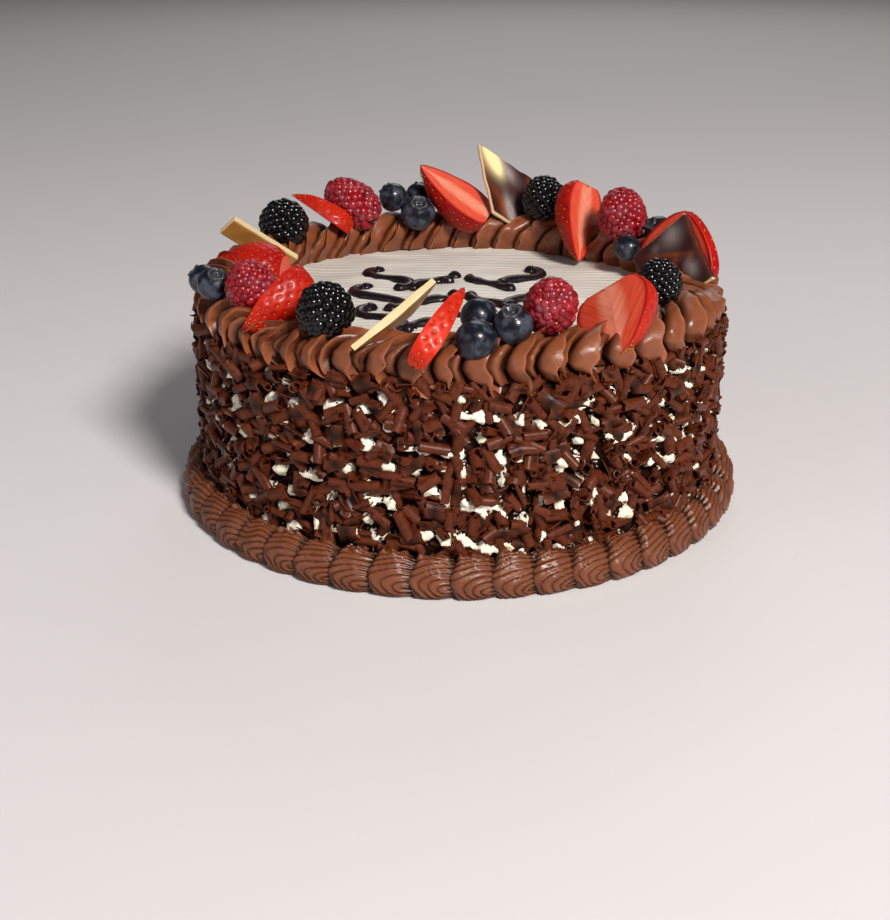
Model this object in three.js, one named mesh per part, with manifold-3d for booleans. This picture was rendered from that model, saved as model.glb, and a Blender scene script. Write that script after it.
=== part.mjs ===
// Chocolate berry cake: a round cream cake whose side is packed with chocolate curls, with a piped rope
// border on its top edge, a piped shell border round its foot, piped scrollwork on the cream, and berries,
// strawberry pieces, battens and plaques pressed into the rope. Millimetres, +Z up. The origin is the
// middle of the flat foot, the front of the cake faces -Y and +X is to the right.

import * as THREE from 'three';
import { mergeVertices } from 'three/addons/utils/BufferGeometryUtils.js';
import Module from 'manifold-3d';

const wasm = await Module();
wasm.setup();

// Driving dimensions, in mm.
const CAKE = { top: 78, creamRadius: 104.5, coatRadius: 107, coatFrom: 17.6, coatTo: 73, segments: 48 };
const TOP_BORDER = { radius: 98.8, height: 85.1, reach: 10.9, rise: 10.2, lips: 62 };
const ROPE_TIP = { radius: 107.2, height: 75.9, lift: 1.6 };
const FOOT_BORDER = { outer: 119.5, height: 16.5, shells: 48 };
const CURLS = { count: 98, radius: 2.1, sides: 5, sunk: 0.35 };
const CURL_LENGTH = { shortest: 8, longest: 12.5 };
const CURL_BAND = { from: 19, to: 75 };
const PIPING = { radius: 1.9, sides: 4, sunk: 0.56, dot: 2.6, pitch: 5.2 };
const GAP = 0.4;
const SOCKET_GAP = 0.8;

const COLOURS = {
  curls: 0x3a1c12,
  chocolateCream: 0x8a5638,
  raspberry: 0x8e1526,
  bramble: 0x0d0b12,
  blueberry: 0x27304a,
  strawberry: 0xc8231a,
  batten: 0xe8cf9c,
  plaque: 0x3b2320,
};

// A repeatable run of numbers, so that every curl and every coil of the rope differs from its neighbours.
function seeded(seed) {
  let state = seed;
  return () => {
    state = (state + 0x6d2b79f5) | 0;
    let mixed = Math.imul(state ^ (state >>> 15), 1 | state);
    mixed = (mixed + Math.imul(mixed ^ (mixed >>> 7), 61 | mixed)) ^ mixed;
    return ((mixed ^ (mixed >>> 14)) >>> 0) / 4294967296;
  };
}

const radians = THREE.MathUtils.degToRad;

function polar(degrees, radius, height) {
  const angle = radians(degrees);
  return new THREE.Vector3(radius * Math.cos(angle), radius * Math.sin(angle), height);
}

// ---- Helpers between three.js geometry and solids ----

// Merges shared vertices and drops the triangles that a pole or a seam leaves without area.
function welded(geometry) {
  const bare = geometry.clone();
  bare.deleteAttribute('normal');
  bare.deleteAttribute('uv');
  const merged = mergeVertices(bare, 1e-4);
  const from = merged.index.array;
  const kept = [];
  for (let i = 0; i < from.length; i += 3) {
    const [a, b, c] = [from[i], from[i + 1], from[i + 2]];
    if (a !== b && b !== c && c !== a) {
      kept.push(a, b, c);
    }
  }
  merged.setIndex(kept);
  return merged;
}

function solidOf(geometry) {
  const merged = welded(geometry);
  return new wasm.Manifold(new wasm.Mesh({
    numProp: 3,
    vertProperties: new Float32Array(merged.attributes.position.array),
    triVerts: new Uint32Array(merged.index.array),
  }));
}

function geometryOf(solid) {
  const mesh = solid.getMesh();
  const geometry = new THREE.BufferGeometry();
  geometry.setAttribute('position', new THREE.BufferAttribute(new Float32Array(mesh.vertProperties), 3));
  geometry.setIndex(new THREE.BufferAttribute(new Uint32Array(mesh.triVerts), 1));
  return geometry;
}

function indexed(points, triangles) {
  const geometry = new THREE.BufferGeometry();
  geometry.setAttribute('position', new THREE.Float32BufferAttribute(points.flat(), 3));
  geometry.setIndex(triangles);
  return geometry;
}

// A closed ring of cross-sections. shift joins the last column to a later row, so that each row is a helix.
function ringOfSections(rows, columns, shift, point) {
  const points = [];
  const triangles = [];
  for (let i = 0; i < rows; i++) {
    for (let j = 0; j < columns; j++) {
      points.push(point(i, j));
    }
  }
  const at = (i, j) => {
    const turns = Math.floor(j / columns);
    return ((i + turns * shift) % rows) * columns + (j % columns);
  };
  for (let i = 0; i < rows; i++) {
    for (let j = 0; j < columns; j++) {
      triangles.push(at(i, j), at(i + 1, j), at(i + 1, j + 1));
      triangles.push(at(i, j), at(i + 1, j + 1), at(i, j + 1));
    }
  }
  return indexed(points, triangles);
}

function turned(profile, segments) {
  const points = profile.map(([radius, height]) => new THREE.Vector2(radius, height));
  return new THREE.LatheGeometry(points, segments).rotateX(Math.PI / 2);
}

// Grows a shape about the middle of its box, so that each side of the box moves out by gap.
function grown(geometry, gap) {
  const copy = geometry.clone();
  copy.computeBoundingBox();
  const middle = copy.boundingBox.getCenter(new THREE.Vector3());
  const size = copy.boundingBox.getSize(new THREE.Vector3());
  copy.translate(-middle.x, -middle.y, -middle.z);
  copy.scale(1 + 2 * gap / size.x, 1 + 2 * gap / size.y, 1 + 2 * gap / size.z);
  copy.translate(middle.x, middle.y, middle.z);
  return copy;
}

// ---- The cake with its curls and piping ----

function cakeDrum() {
  return turned([
    [0, 0],
    [CAKE.creamRadius, 0],
    [CAKE.creamRadius, CAKE.coatFrom - 1],
    [CAKE.coatRadius, CAKE.coatFrom],
    [CAKE.coatRadius, CAKE.coatTo],
    [CAKE.creamRadius, CAKE.top],
    [0, CAKE.top],
  ], CAKE.segments);
}

// One rolled curl lying against the side, turned in the plane of the side by a drawn angle.
function curl(index, random) {
  const length = THREE.MathUtils.lerp(CURL_LENGTH.shortest, CURL_LENGTH.longest, random());
  const around = 360 * ((index * 0.569840 + 0.5) % 1);
  const band = (index * 0.754878 + 0.5) % 1;
  const lie = random() * Math.PI;
  const halfHeight = CURLS.radius + Math.abs(Math.sin(lie)) * length / 2;
  const height = THREE.MathUtils.lerp(CURL_BAND.from + halfHeight, CURL_BAND.to - halfHeight, band);
  const geometry = new THREE.CylinderGeometry(CURLS.radius, CURLS.radius, length, CURLS.sides);
  geometry.rotateY(Math.PI / 2);
  geometry.rotateX(lie + Math.PI / 2);
  geometry.translate(CAKE.coatRadius + CURLS.radius * (1 - 2 * CURLS.sunk), 0, height);
  geometry.rotateZ(radians(around));
  return geometry;
}

// The middle line of one piped scroll. Its heading bends by bend * t^2, or by bend * t^3 for a scroll
// whose two ends curl to the same side, so that both ends roll up.
function scrollLine({ at, length, heading, bend, alike }) {
  const steps = 2 * Math.round(length / (2 * PIPING.pitch));
  const half = [[], []];
  const side = [1, -1];
  for (const k of [0, 1]) {
    const point = new THREE.Vector2(at[0], at[1]);
    for (let i = 0; i < steps / 2; i++) {
      const t = side[k] * (i + 0.5) / (steps / 2);
      const angle = radians(heading) + radians(bend) * (alike ? t ** 3 : t ** 2);
      point.x += side[k] * (length / steps) * Math.cos(angle);
      point.y += side[k] * (length / steps) * Math.sin(angle);
      half[k].push(point.clone());
    }
  }
  const flat = [...half[1].reverse(), new THREE.Vector2(at[0], at[1]), ...half[0]];
  const height = CAKE.top + PIPING.radius * (1 - 2 * PIPING.sunk);
  return flat.map((point) => new THREE.Vector3(point.x, point.y, height));
}

// Three rows of mirrored scrolls with a dot between them, an ornament with no letters in it.
const PIPED_ROWS = [
  { y: 34, length: 48, reach: 29 },
  { y: 4, length: 56, reach: 32 },
  { y: -26, length: 48, reach: 29 },
];
const PIPED_MIDDLE = -2;

function pipedScrolls() {
  const scrolls = [];
  for (const { y, length, reach } of PIPED_ROWS) {
    for (const side of [-1, 1]) {
      const outer = { at: [PIPED_MIDDLE + side * reach, y], length, heading: side * 20, bend: side * 200 };
      const inner = { at: [PIPED_MIDDLE + side * reach * 0.42, y - 6], length: length * 0.5 };
      scrolls.push({ ...outer, alike: false });
      scrolls.push({ ...inner, heading: side * -35, bend: side * 150, alike: true });
    }
  }
  return scrolls.map(scrollLine);
}

function pipedDots() {
  return PIPED_ROWS.map(({ y }) => new THREE.Vector3(PIPED_MIDDLE, y + 6, CAKE.top));
}

function pipedStroke(line) {
  const section = new THREE.Shape();
  for (let i = 0; i < PIPING.sides; i++) {
    const angle = 2 * Math.PI * i / PIPING.sides;
    const point = [PIPING.radius * Math.cos(angle), PIPING.radius * Math.sin(angle)];
    if (i === 0) {
      section.moveTo(...point);
    } else {
      section.lineTo(...point);
    }
  }
  section.closePath();
  const path = new THREE.CatmullRomCurve3(line);
  const steps = line.length - 1;
  return new THREE.ExtrudeGeometry(section, { steps, bevelEnabled: false, extrudePath: path });
}

function cakeSolid() {
  const random = seeded(11);
  let cake = solidOf(cakeDrum());
  for (let i = 0; i < CURLS.count; i++) {
    cake = cake.add(solidOf(curl(i, random)));
  }
  for (const line of pipedScrolls()) {
    cake = cake.add(solidOf(pipedStroke(line)));
  }
  for (const place of pipedDots()) {
    const dot = new THREE.IcosahedronGeometry(PIPING.dot, 0).translate(place.x, place.y, place.z);
    cake = cake.add(solidOf(dot));
  }
  return cake;
}

// The room that the cake takes, with the gap that a border or a topping keeps to it.
function cakeRoom() {
  return solidOf(turned([
    [0, -5],
    [CAKE.creamRadius + GAP, -5],
    [CAKE.creamRadius + GAP, CAKE.top + GAP],
    [0, CAKE.top + GAP],
  ], CAKE.segments));
}

// ---- Borders ----

// A rope piped in one long spiral. Each lip is followed by a groove, and the spiral climbs on the outside.
// Its flat underside rests on the cream, and outside the edge of the cake the lips hang down a little.
const ROPE_ANGLES = [0, 45, 90, 138, 188];

function topBorder() {
  const random = seeded(5);
  const rows = TOP_BORDER.lips * 2;
  const draws = Array.from({ length: rows }, () => random());
  const foot = CAKE.top + GAP;
  const columns = ROPE_ANGLES.length + 3;
  return ringOfSections(rows, columns, 2, (i, j) => {
    const groove = i % 2 === 1;
    const size = groove ? 0.77 + 0.06 * draws[i] : 0.96 + 0.1 * draws[i];
    const along = i / 2 + (groove ? 0.08 : 0) + j / columns;
    const around = 360 * along / TOP_BORDER.lips;
    const underside = [
      [TOP_BORDER.radius - 7, foot],
      [CAKE.creamRadius + GAP, foot],
      [ROPE_TIP.radius * (groove ? 0.99 : 1), ROPE_TIP.height + (groove ? ROPE_TIP.lift : 0)],
    ];
    if (j < underside.length) {
      return polar(around, ...underside[j]).toArray();
    }
    const section = radians(ROPE_ANGLES[j - underside.length]);
    const radius = TOP_BORDER.radius + TOP_BORDER.reach * size * Math.cos(section);
    const height = TOP_BORDER.height + TOP_BORDER.rise * size * Math.sin(section);
    return polar(around, radius, Math.max(height, foot)).toArray();
  });
}

// Shells piped one after another to the right. Each swells to a round head and dies away under the next.
const SHELL_ROWS = [
  { along: 0.06, size: 0.76 },
  { along: 0.3, size: 1 },
  { along: 0.68, size: 0.93 },
];

function footBorder() {
  const inner = CAKE.creamRadius + GAP;
  const width = FOOT_BORDER.outer - inner;
  const { height, shells } = FOOT_BORDER;
  const section = [[0, 0], [0.8, 0], [1, 0.36], [0.86, 0.78], [0.45, 1], [0, 0.92]];
  return ringOfSections(shells * SHELL_ROWS.length, section.length, 0, (i, j) => {
    const { along, size } = SHELL_ROWS[i % SHELL_ROWS.length];
    const around = 360 * (Math.floor(i / SHELL_ROWS.length) + along) / shells;
    const [out, up] = section[j];
    return polar(around, inner + out * width * size, up * height * size).toArray();
  });
}

// ---- Toppings ----

// A berry body from a ball: wide near the hollow end at -Z and narrower at the tip.
function berryShaped([x, y, z], { width, length, taper }) {
  const narrowed = 1 - taper * z;
  return [x * narrowed * width / 2, y * narrowed * width / 2, z * length / 2];
}

// The corners of the ball are the drupelets' crowns, and the middle of each face is a dimple between them.
function drupeletBerry(size) {
  const ball = welded(new THREE.IcosahedronGeometry(1, 1));
  const position = ball.attributes.position;
  const index = ball.index.array;
  const corners = [];
  for (let i = 0; i < position.count; i++) {
    corners.push([position.getX(i), position.getY(i), position.getZ(i)]);
  }
  const dimples = [];
  const faceLeftOf = new Map();
  for (let face = 0; face * 3 < index.length; face++) {
    const abc = [index[face * 3], index[face * 3 + 1], index[face * 3 + 2]];
    const middle = new THREE.Vector3();
    for (const corner of abc) {
      middle.add(new THREE.Vector3(...corners[corner]));
    }
    dimples.push(middle.setLength(0.85).toArray());
    for (let k = 0; k < 3; k++) {
      faceLeftOf.set(`${abc[k]}-${abc[(k + 1) % 3]}`, face);
    }
  }
  const triangles = [];
  for (const [edge, left] of faceLeftOf) {
    const [a, b] = edge.split('-').map(Number);
    const right = faceLeftOf.get(`${b}-${a}`);
    triangles.push(a, corners.length + right, corners.length + left);
  }
  return indexed([...corners, ...dimples].map((point) => berryShaped(point, size)), triangles);
}

// The socket that a round berry presses into the rope: a plain ball round its widest places.
function berrySocket({ width, length = width, taper = 0 }) {
  const profile = [[0, -1.06], [0.86, -0.76], [1.13, 0], [0.84, 0.78], [0, 1.06]];
  return turned(profile.map(([radius, height]) => {
    const [out, , up] = berryShaped([radius, 0, height], { width, length, taper });
    return [out, up];
  }), 8);
}

// A ball with a raised rim round a hollow at +Z, where the flower was.
function blueberry({ width }) {
  const profile = [
    [0, -0.94],
    [0.6, -0.76],
    [0.99, -0.12],
    [0.84, 0.5],
    [0.42, 0.84],
    [0.34, 0.97],
    [0.2, 0.78],
    [0, 0.74],
  ];
  return turned(profile.map(([radius, height]) => [radius * width / 2, height * width / 2]), 8);
}

// Half-width of a strawberry from its hull end, where along is 0, to its tip, where along is 1.
const STRAWBERRY_OUTLINE = [[0, 0.62], [0.08, 0.86], [0.27, 1], [0.5, 0.9], [0.74, 0.62], [0.92, 0.28]];

// A lengthwise piece of a strawberry. Its axis is +Z with the tip up, and the skin is towards +X.
function strawberryWedge({ width, length, spread }) {
  const steps = Math.max(2, Math.round(spread / 36));
  const points = [[0, 0, 0], [0, 0, length]];
  for (const [along, half] of STRAWBERRY_OUTLINE) {
    for (let i = 0; i <= steps; i++) {
      const around = radians(spread * (i / steps - 0.5));
      points.push([
        half * width / 2 * Math.cos(around),
        half * width / 2 * Math.sin(around),
        along * length,
      ]);
    }
  }
  const at = (row, i) => 2 + row * (steps + 1) + i;
  const last = STRAWBERRY_OUTLINE.length - 1;
  const triangles = [];
  for (let i = 0; i < steps; i++) {
    triangles.push(0, at(0, i + 1), at(0, i));
    triangles.push(at(last, i), at(last, i + 1), 1);
    for (let row = 0; row < last; row++) {
      triangles.push(at(row, i), at(row, i + 1), at(row + 1, i + 1));
      triangles.push(at(row, i), at(row + 1, i + 1), at(row + 1, i));
    }
  }
  for (let row = 0; row < last; row++) {
    triangles.push(0, at(row, 0), at(row + 1, 0));
    triangles.push(0, at(row + 1, steps), at(row, steps));
  }
  triangles.push(0, at(last, 0), 1);
  triangles.push(0, 1, at(last, steps));
  return indexed(points, triangles);
}

// A flat slice through the middle of a strawberry, with one cut face at x = 0 and the other behind it.
function strawberrySlice({ width, length, thickness }) {
  const outline = new THREE.Shape();
  const right = STRAWBERRY_OUTLINE.map(([along, half]) => {
    return new THREE.Vector2(half * width / 2, along * length);
  });
  const left = right.map((point) => new THREE.Vector2(-point.x, point.y)).reverse();
  outline.setFromPoints([...right, new THREE.Vector2(0, length), ...left]);
  const geometry = new THREE.ExtrudeGeometry(outline, { depth: thickness, bevelEnabled: false });
  return geometry.rotateX(Math.PI / 2).rotateZ(Math.PI / 2);
}

// A layered batten. Its long axis is Z, and the pale edge that shows lies along the axis, facing +Y.
function batten({ length, width, thickness }) {
  return new THREE.BoxGeometry(thickness, width, length).translate(-thickness / 2, -width / 2, length / 2);
}

// A thin plaque in the YZ plane, with one corner at the origin and one side along +Z. Its face is at x = 0.
function plaque({ side, opening, thickness }) {
  const across = [Math.sin(radians(opening)) * side, Math.cos(radians(opening)) * side];
  const outline = new THREE.Shape();
  outline.setFromPoints([
    new THREE.Vector2(0, 0),
    new THREE.Vector2(across[0], across[1]),
    new THREE.Vector2(across[0], across[1] + side),
    new THREE.Vector2(0, side),
  ]);
  const geometry = new THREE.ExtrudeGeometry(outline, { depth: thickness, bevelEnabled: false });
  return geometry.rotateX(Math.PI / 2).rotateZ(Math.PI / 2).translate(-thickness, 0, 0);
}

const KINDS = {
  bramble: { make: drupeletBerry, socket: berrySocket, colour: COLOURS.bramble, roughness: 0.2 },
  raspberry: { make: drupeletBerry, socket: berrySocket, colour: COLOURS.raspberry, roughness: 0.45 },
  blueberry: { make: blueberry, socket: berrySocket, colour: COLOURS.blueberry, roughness: 0.5 },
  wedge: { make: strawberryWedge, socket: strawberryWedge, colour: COLOURS.strawberry, roughness: 0.3 },
  slice: { make: strawberrySlice, socket: strawberrySlice, colour: COLOURS.strawberry, roughness: 0.3 },
  batten: { make: batten, socket: batten, colour: COLOURS.batten, roughness: 0.4 },
  plaque: { make: plaque, socket: plaque, colour: COLOURS.plaque, roughness: 0.25 },
};

// Where each topping sits: at is the angle round the cake, the distance from its axis and the height.
// lean tips the piece's own axis from upright towards the direction turn, and spin rolls it on that axis.
const PLACES = {
  bramble: [
    { name: 'bramble_a', at: [144.6, 97.6, 97.8], turn: -66, lean: 10, size: { width: 22, length: 22 } },
    { name: 'bramble_b', at: [65.8, 98, 102.6], turn: 124, lean: 5, size: { width: 20, length: 21.5 } },
    { name: 'bramble_c', at: [-33, 90.5, 100], turn: 140, lean: 5, size: { width: 17, length: 18.5 } },
    { name: 'bramble_d', at: [-119, 98, 99.6], turn: -78, lean: 20, size: { width: 20.5, length: 20 } },
  ],
  raspberry: [
    { name: 'raspberry_a', at: [121.7, 95.2, 102], turn: 164, lean: 56,
      size: { width: 21.5, length: 30 } },
    { name: 'raspberry_b', at: [36, 90.5, 103], turn: 170, lean: 11, size: { width: 22, length: 25 } },
    { name: 'raspberry_c', at: [-69.9, 94.2, 102.3], turn: -69, lean: 35,
      size: { width: 19.5, length: 23 } },
    { name: 'raspberry_d', at: [-146, 95, 99.5], turn: -110, lean: 22, size: { width: 20, length: 21 } },
  ],
  blueberry: [
    { name: 'blueberry_a', at: [109, 97, 102.6], turn: 150, lean: 50, size: { width: 14 } },
    { name: 'blueberry_b', at: [101, 104, 101.5], turn: 90, lean: 40, size: { width: 12.5 } },
    { name: 'blueberry_c', at: [103, 87, 96.7], turn: -80, lean: 38, size: { width: 17 } },
    { name: 'blueberry_d', at: [28, 100.5, 97.6], turn: 200, lean: 50, size: { width: 13 } },
    { name: 'blueberry_e', at: [28.6, 85, 91], turn: 100, lean: 20, size: { width: 12.4 } },
    { name: 'blueberry_f', at: [-79, 99, 98], turn: -110, lean: 25, size: { width: 14.4 } },
    { name: 'blueberry_g', at: [-86.7, 103.5, 94.3], turn: 60, lean: 35, size: { width: 15.2 } },
    { name: 'blueberry_h', at: [-85.5, 89, 98.4], turn: 40, lean: 60, size: { width: 13.6 } },
    { name: 'blueberry_i', at: [-154, 104.5, 98], turn: -60, lean: 35, size: { width: 13.4 } },
    { name: 'blueberry_j', at: [-163, 105.5, 95.8], turn: 180, lean: 45, size: { width: 12 } },
  ],
  wedge: [
    { name: 'strawberry_a', at: [125.5, 89.6, 89], turn: 173, lean: 56, spin: 138,
      size: { width: 20, length: 32, spread: 55 } },
    { name: 'strawberry_b', at: [80.9, 90.2, 94.8], turn: 175, lean: 55, spin: -15,
      size: { width: 29, length: 40.5, spread: 180 } },
    { name: 'strawberry_c', at: [50.7, 93.1, 112.7], turn: -105, lean: 154, spin: -67,
      size: { width: 28, length: 36, spread: 180 } },
    { name: 'strawberry_e', at: [-53.8, 91, 105.4], turn: -79, lean: 134, spin: 54,
      size: { width: 33, length: 27.5, spread: 180 } },
    { name: 'strawberry_f', at: [-98.6, 108.7, 85.0], turn: 44, lean: 46, spin: -134,
      size: { width: 25, length: 35.2, spread: 40 } },
    { name: 'strawberry_g', at: [-140.6, 78, 100], turn: -128, lean: 109, spin: 80,
      size: { width: 26, length: 33, spread: 150 } },
    { name: 'strawberry_h', at: [167.7, 76.5, 84.4], turn: -189, lean: 90, spin: 176,
      size: { width: 28, length: 37, spread: 180 } },
  ],
  slice: [
    { name: 'strawberry_d', at: [13.3, 93.6, 80.2], turn: 40, lean: 12, spin: 0,
      size: { width: 41, length: 31.5, thickness: 5.5 } },
  ],
  batten: [
    { name: 'stick_a', at: [150.1, 83, 85.5], turn: -153, lean: 54, spin: 51,
      size: { length: 35, width: 11, thickness: 2.6 } },
    { name: 'stick_b', at: [-110.5, 107.7, 91.5], turn: 29, lean: 58, spin: 136,
      size: { length: 38, width: 11, thickness: 3.1 } },
  ],
  plaque: [
    { name: 'plaque_a', at: [79.5, 87.5, 97], turn: 112, lean: 32, spin: -165,
      size: { side: 34.5, opening: 121, thickness: 2.2 } },
    { name: 'plaque_b', at: [-2.2, 105.1, 89.5], turn: 114, lean: 48, spin: 110,
      size: { side: 33.2, opening: -89, thickness: 2.2 } },
  ],
};

const TOPPINGS = Object.entries(PLACES).flatMap(([kind, toppings]) => {
  return toppings.map((topping) => ({ ...topping, kind }));
});

function placed(geometry, { at, turn, lean, spin = 0 }) {
  const placedMesh = new THREE.Mesh(geometry);
  placedMesh.position.copy(polar(...at));
  placedMesh.rotation.set(0, 0, radians(turn));
  placedMesh.rotateY(radians(lean));
  placedMesh.rotateZ(radians(spin));
  placedMesh.updateMatrixWorld();
  return placedMesh;
}

const TAPER = { raspberry: 0.1, bramble: 0.05 };

function sizeOf({ kind, size }) {
  return { taper: TAPER[kind] ?? 0, ...size };
}

function toppingMesh(topping) {
  const { make, colour, roughness } = KINDS[topping.kind];
  const mesh = placed(make(sizeOf(topping)), topping);
  mesh.name = topping.name;
  mesh.material = new THREE.MeshStandardMaterial({ color: colour, roughness, metalness: 0 });
  return mesh;
}

function toppingRoom(topping) {
  const socket = placed(grown(KINDS[topping.kind].socket(sizeOf(topping)), SOCKET_GAP), topping);
  return solidOf(socket.geometry.clone().applyMatrix4(socket.matrixWorld));
}

// A plaque reaches down through the rope, so its lowest corner is cut off where it meets the cake.
function trimmedByCake(mesh, room) {
  const whole = solidOf(mesh.geometry.clone().applyMatrix4(mesh.matrixWorld));
  const trimmed = new THREE.Mesh(geometryOf(whole.subtract(room)), mesh.material);
  trimmed.name = mesh.name;
  return trimmed;
}

// ---- The whole cake ----

function named(name, solid, colour, roughness) {
  const material = new THREE.MeshStandardMaterial({ color: colour, roughness, metalness: 0 });
  const mesh = new THREE.Mesh(geometryOf(solid), material);
  mesh.name = name;
  return mesh;
}

const room = cakeRoom();
let rope = solidOf(topBorder());
for (const topping of TOPPINGS) {
  rope = rope.subtract(toppingRoom(topping));
}

const cakeGroup = new THREE.Group();
cakeGroup.add(named('cake', cakeSolid(), COLOURS.curls, 0.6));
cakeGroup.add(named('top_border', rope, COLOURS.chocolateCream, 0.55));
cakeGroup.add(named('bottom_border', solidOf(footBorder()), COLOURS.chocolateCream, 0.55));
for (const topping of TOPPINGS) {
  const mesh = toppingMesh(topping);
  cakeGroup.add(topping.kind === 'plaque' ? trimmedByCake(mesh, room) : mesh);
}

export default cakeGroup;
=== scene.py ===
"""Looks of the chocolate berry cake, laid out as a Blender add-on.

Shapes are worked out in millimetres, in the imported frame: the origin is the middle of the cake's foot, the
front of the cake faces -Y and +X is to the right. Each becomes metres when its mesh is made.
"""

import math

import bmesh
import bpy
import numpy as np
from mathutils import Euler, Matrix, Vector


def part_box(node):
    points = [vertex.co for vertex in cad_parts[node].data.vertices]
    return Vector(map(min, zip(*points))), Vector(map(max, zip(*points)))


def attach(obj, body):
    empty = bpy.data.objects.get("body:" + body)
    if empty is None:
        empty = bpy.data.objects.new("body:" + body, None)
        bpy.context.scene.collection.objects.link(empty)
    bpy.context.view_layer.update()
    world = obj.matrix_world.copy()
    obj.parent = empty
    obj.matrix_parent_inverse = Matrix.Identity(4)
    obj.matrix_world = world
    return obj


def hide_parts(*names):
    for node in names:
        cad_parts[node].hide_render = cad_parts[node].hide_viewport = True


bl_info = {
    "name": "Chocolate berry cake",
    "version": (1, 0, 0),
    "blender": (4, 5, 0),
    "location": "3D View > Sidebar > Berry cake",
    "description": "Cream, curls, piped borders, fruit and chocolate of one round cake",
    "category": "Object",
}

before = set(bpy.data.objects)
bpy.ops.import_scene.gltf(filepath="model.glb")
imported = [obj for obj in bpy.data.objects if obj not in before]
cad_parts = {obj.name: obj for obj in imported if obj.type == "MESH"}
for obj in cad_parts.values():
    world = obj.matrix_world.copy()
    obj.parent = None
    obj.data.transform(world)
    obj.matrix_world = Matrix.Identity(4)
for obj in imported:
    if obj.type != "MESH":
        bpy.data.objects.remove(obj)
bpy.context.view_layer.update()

MM = 0.001
PI = math.pi
GOLDEN_ANGLE = PI * (3 - math.sqrt(5))

# Heights and radii, in mm, that the pieces share.
CREAM_TOP = 78.0
CREAM_RADIUS = 104.5
FOOT_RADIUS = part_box("bottom_border")[1].x / MM
BORDER_GAP = 0.4
ROPE_FOOT = CREAM_TOP + BORDER_GAP / 2


def slab(at, turn, lean, spin, **sizes):
    """A topping that sits at an angle round the cake, a distance from its axis and a height.

    It leans from upright towards the direction turn, after it was rolled by spin about its own axis.
    """
    return {"at": at, "turn": turn, "lean": lean, "spin": spin, **sizes}


def berry(at, turn, lean, width, length=0):
    return slab(at, turn, lean, 0, width=width, length=length)


def wedge(at, turn, lean, spin, width, length, spread, ripeness):
    """A strawberry cut lengthwise. Its skin spreads over that many degrees."""
    return slab(at, turn, lean, spin, width=width, length=length, spread=spread, ripeness=ripeness)


# Where each topping sits, as the solids have it.
BRAMBLES = {
    "bramble_a": berry((144.6, 97.6, 97.8), -66, 10, 22, 22),
    "bramble_b": berry((65.8, 98, 102.6), 124, 5, 20, 21.5),
    "bramble_c": berry((-33, 90.5, 100), 140, 5, 17, 18.5),
    "bramble_d": berry((-119, 98, 99.6), -78, 20, 20.5, 20),
}
RASPBERRIES = {
    "raspberry_a": berry((121.7, 95.2, 102), 164, 56, 21.5, 30),
    "raspberry_b": berry((36, 90.5, 103), 170, 11, 22, 25),
    "raspberry_c": berry((-69.9, 94.2, 102.3), -69, 35, 19.5, 23),
    "raspberry_d": berry((-146, 95, 99.5), -110, 22, 20, 21),
}
BLUEBERRIES = {
    "blueberry_a": berry((109, 97, 102.6), 150, 50, 14),
    "blueberry_b": berry((101, 104, 101.5), 90, 40, 12.5),
    "blueberry_c": berry((103, 87, 96.7), -80, 38, 17),
    "blueberry_d": berry((28, 100.5, 97.6), 200, 50, 13),
    "blueberry_e": berry((28.6, 85, 91), 100, 20, 12.4),
    "blueberry_f": berry((-79, 99, 98), -110, 25, 14.4),
    "blueberry_g": berry((-86.7, 103.5, 94.3), 60, 35, 15.2),
    "blueberry_h": berry((-85.5, 89, 98.4), 40, 60, 13.6),
    "blueberry_i": berry((-154, 104.5, 98), -60, 35, 13.4),
    "blueberry_j": berry((-163, 105.5, 95.8), 180, 45, 12),
}
STRAWBERRIES = {
    "strawberry_a": wedge((125.5, 89.6, 89), 173, 56, 138, 20, 32, 55, 0.5),
    "strawberry_b": wedge((80.9, 90.2, 94.8), 175, 55, -15, 29, 40.5, 180, 0.8),
    "strawberry_c": wedge((50.7, 93.1, 112.7), -105, 154, -67, 28, 36, 180, 0.7),
    "strawberry_e": wedge((-53.8, 91, 105.4), -79, 134, 54, 33, 27.5, 180, 0.55),
    "strawberry_f": wedge((-98.6, 108.7, 85), 44, 46, -134, 25, 35.2, 40, 0.3),
    "strawberry_g": wedge((-140.6, 78, 100), -128, 109, 80, 26, 33, 150, 0.6),
    "strawberry_h": wedge((167.7, 76.5, 84.4), -189, 90, 176, 28, 37, 180, 0.75),
}
SLICES = {"strawberry_d": slab((13.3, 93.6, 80.2), 40, 12, 0, width=41, length=31.5, thickness=5.5)}
BATTENS = {
    "stick_a": slab((150.1, 83, 85.5), -153, 54, 51, length=35, width=11, thickness=2.6, belly=0.0),
    "stick_b": slab((-110.5, 107.7, 91.5), 29, 58, 136, length=38, width=11, thickness=3.1, belly=0.8),
}
PLAQUES = {
    "plaque_a": slab((79.5, 87.5, 97), 112, 32, -165, side=34.5, opening=121, thickness=2.2),
    "plaque_b": slab((-2.2, 105.1, 89.5), 114, 48, 110, side=33.2, opening=-89, thickness=2.2),
}


# ---- Numbers and meshes ----


def stacked(*parts):
    """Joins arrays, which are made alike in size first, along a new last axis."""
    return np.stack(np.broadcast_arrays(*parts), axis=-1)


def circle(angle):
    return stacked(np.cos(angle), np.sin(angle))


def polar(degrees, radius, height):
    """Points at that angle round the cake, that distance from its axis and that height."""
    angle = np.radians(degrees)
    return stacked(radius * np.cos(angle), radius * np.sin(angle), height)


def smoothstep(low, high, value):
    share = np.clip((value - low) / (high - low), 0, 1)
    return share * share * (3 - 2 * share)


def bell(value, middle, width):
    """1 at the middle, and fading to 0 on both sides."""
    return np.exp(-(((value - middle) / width) ** 2))


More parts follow.
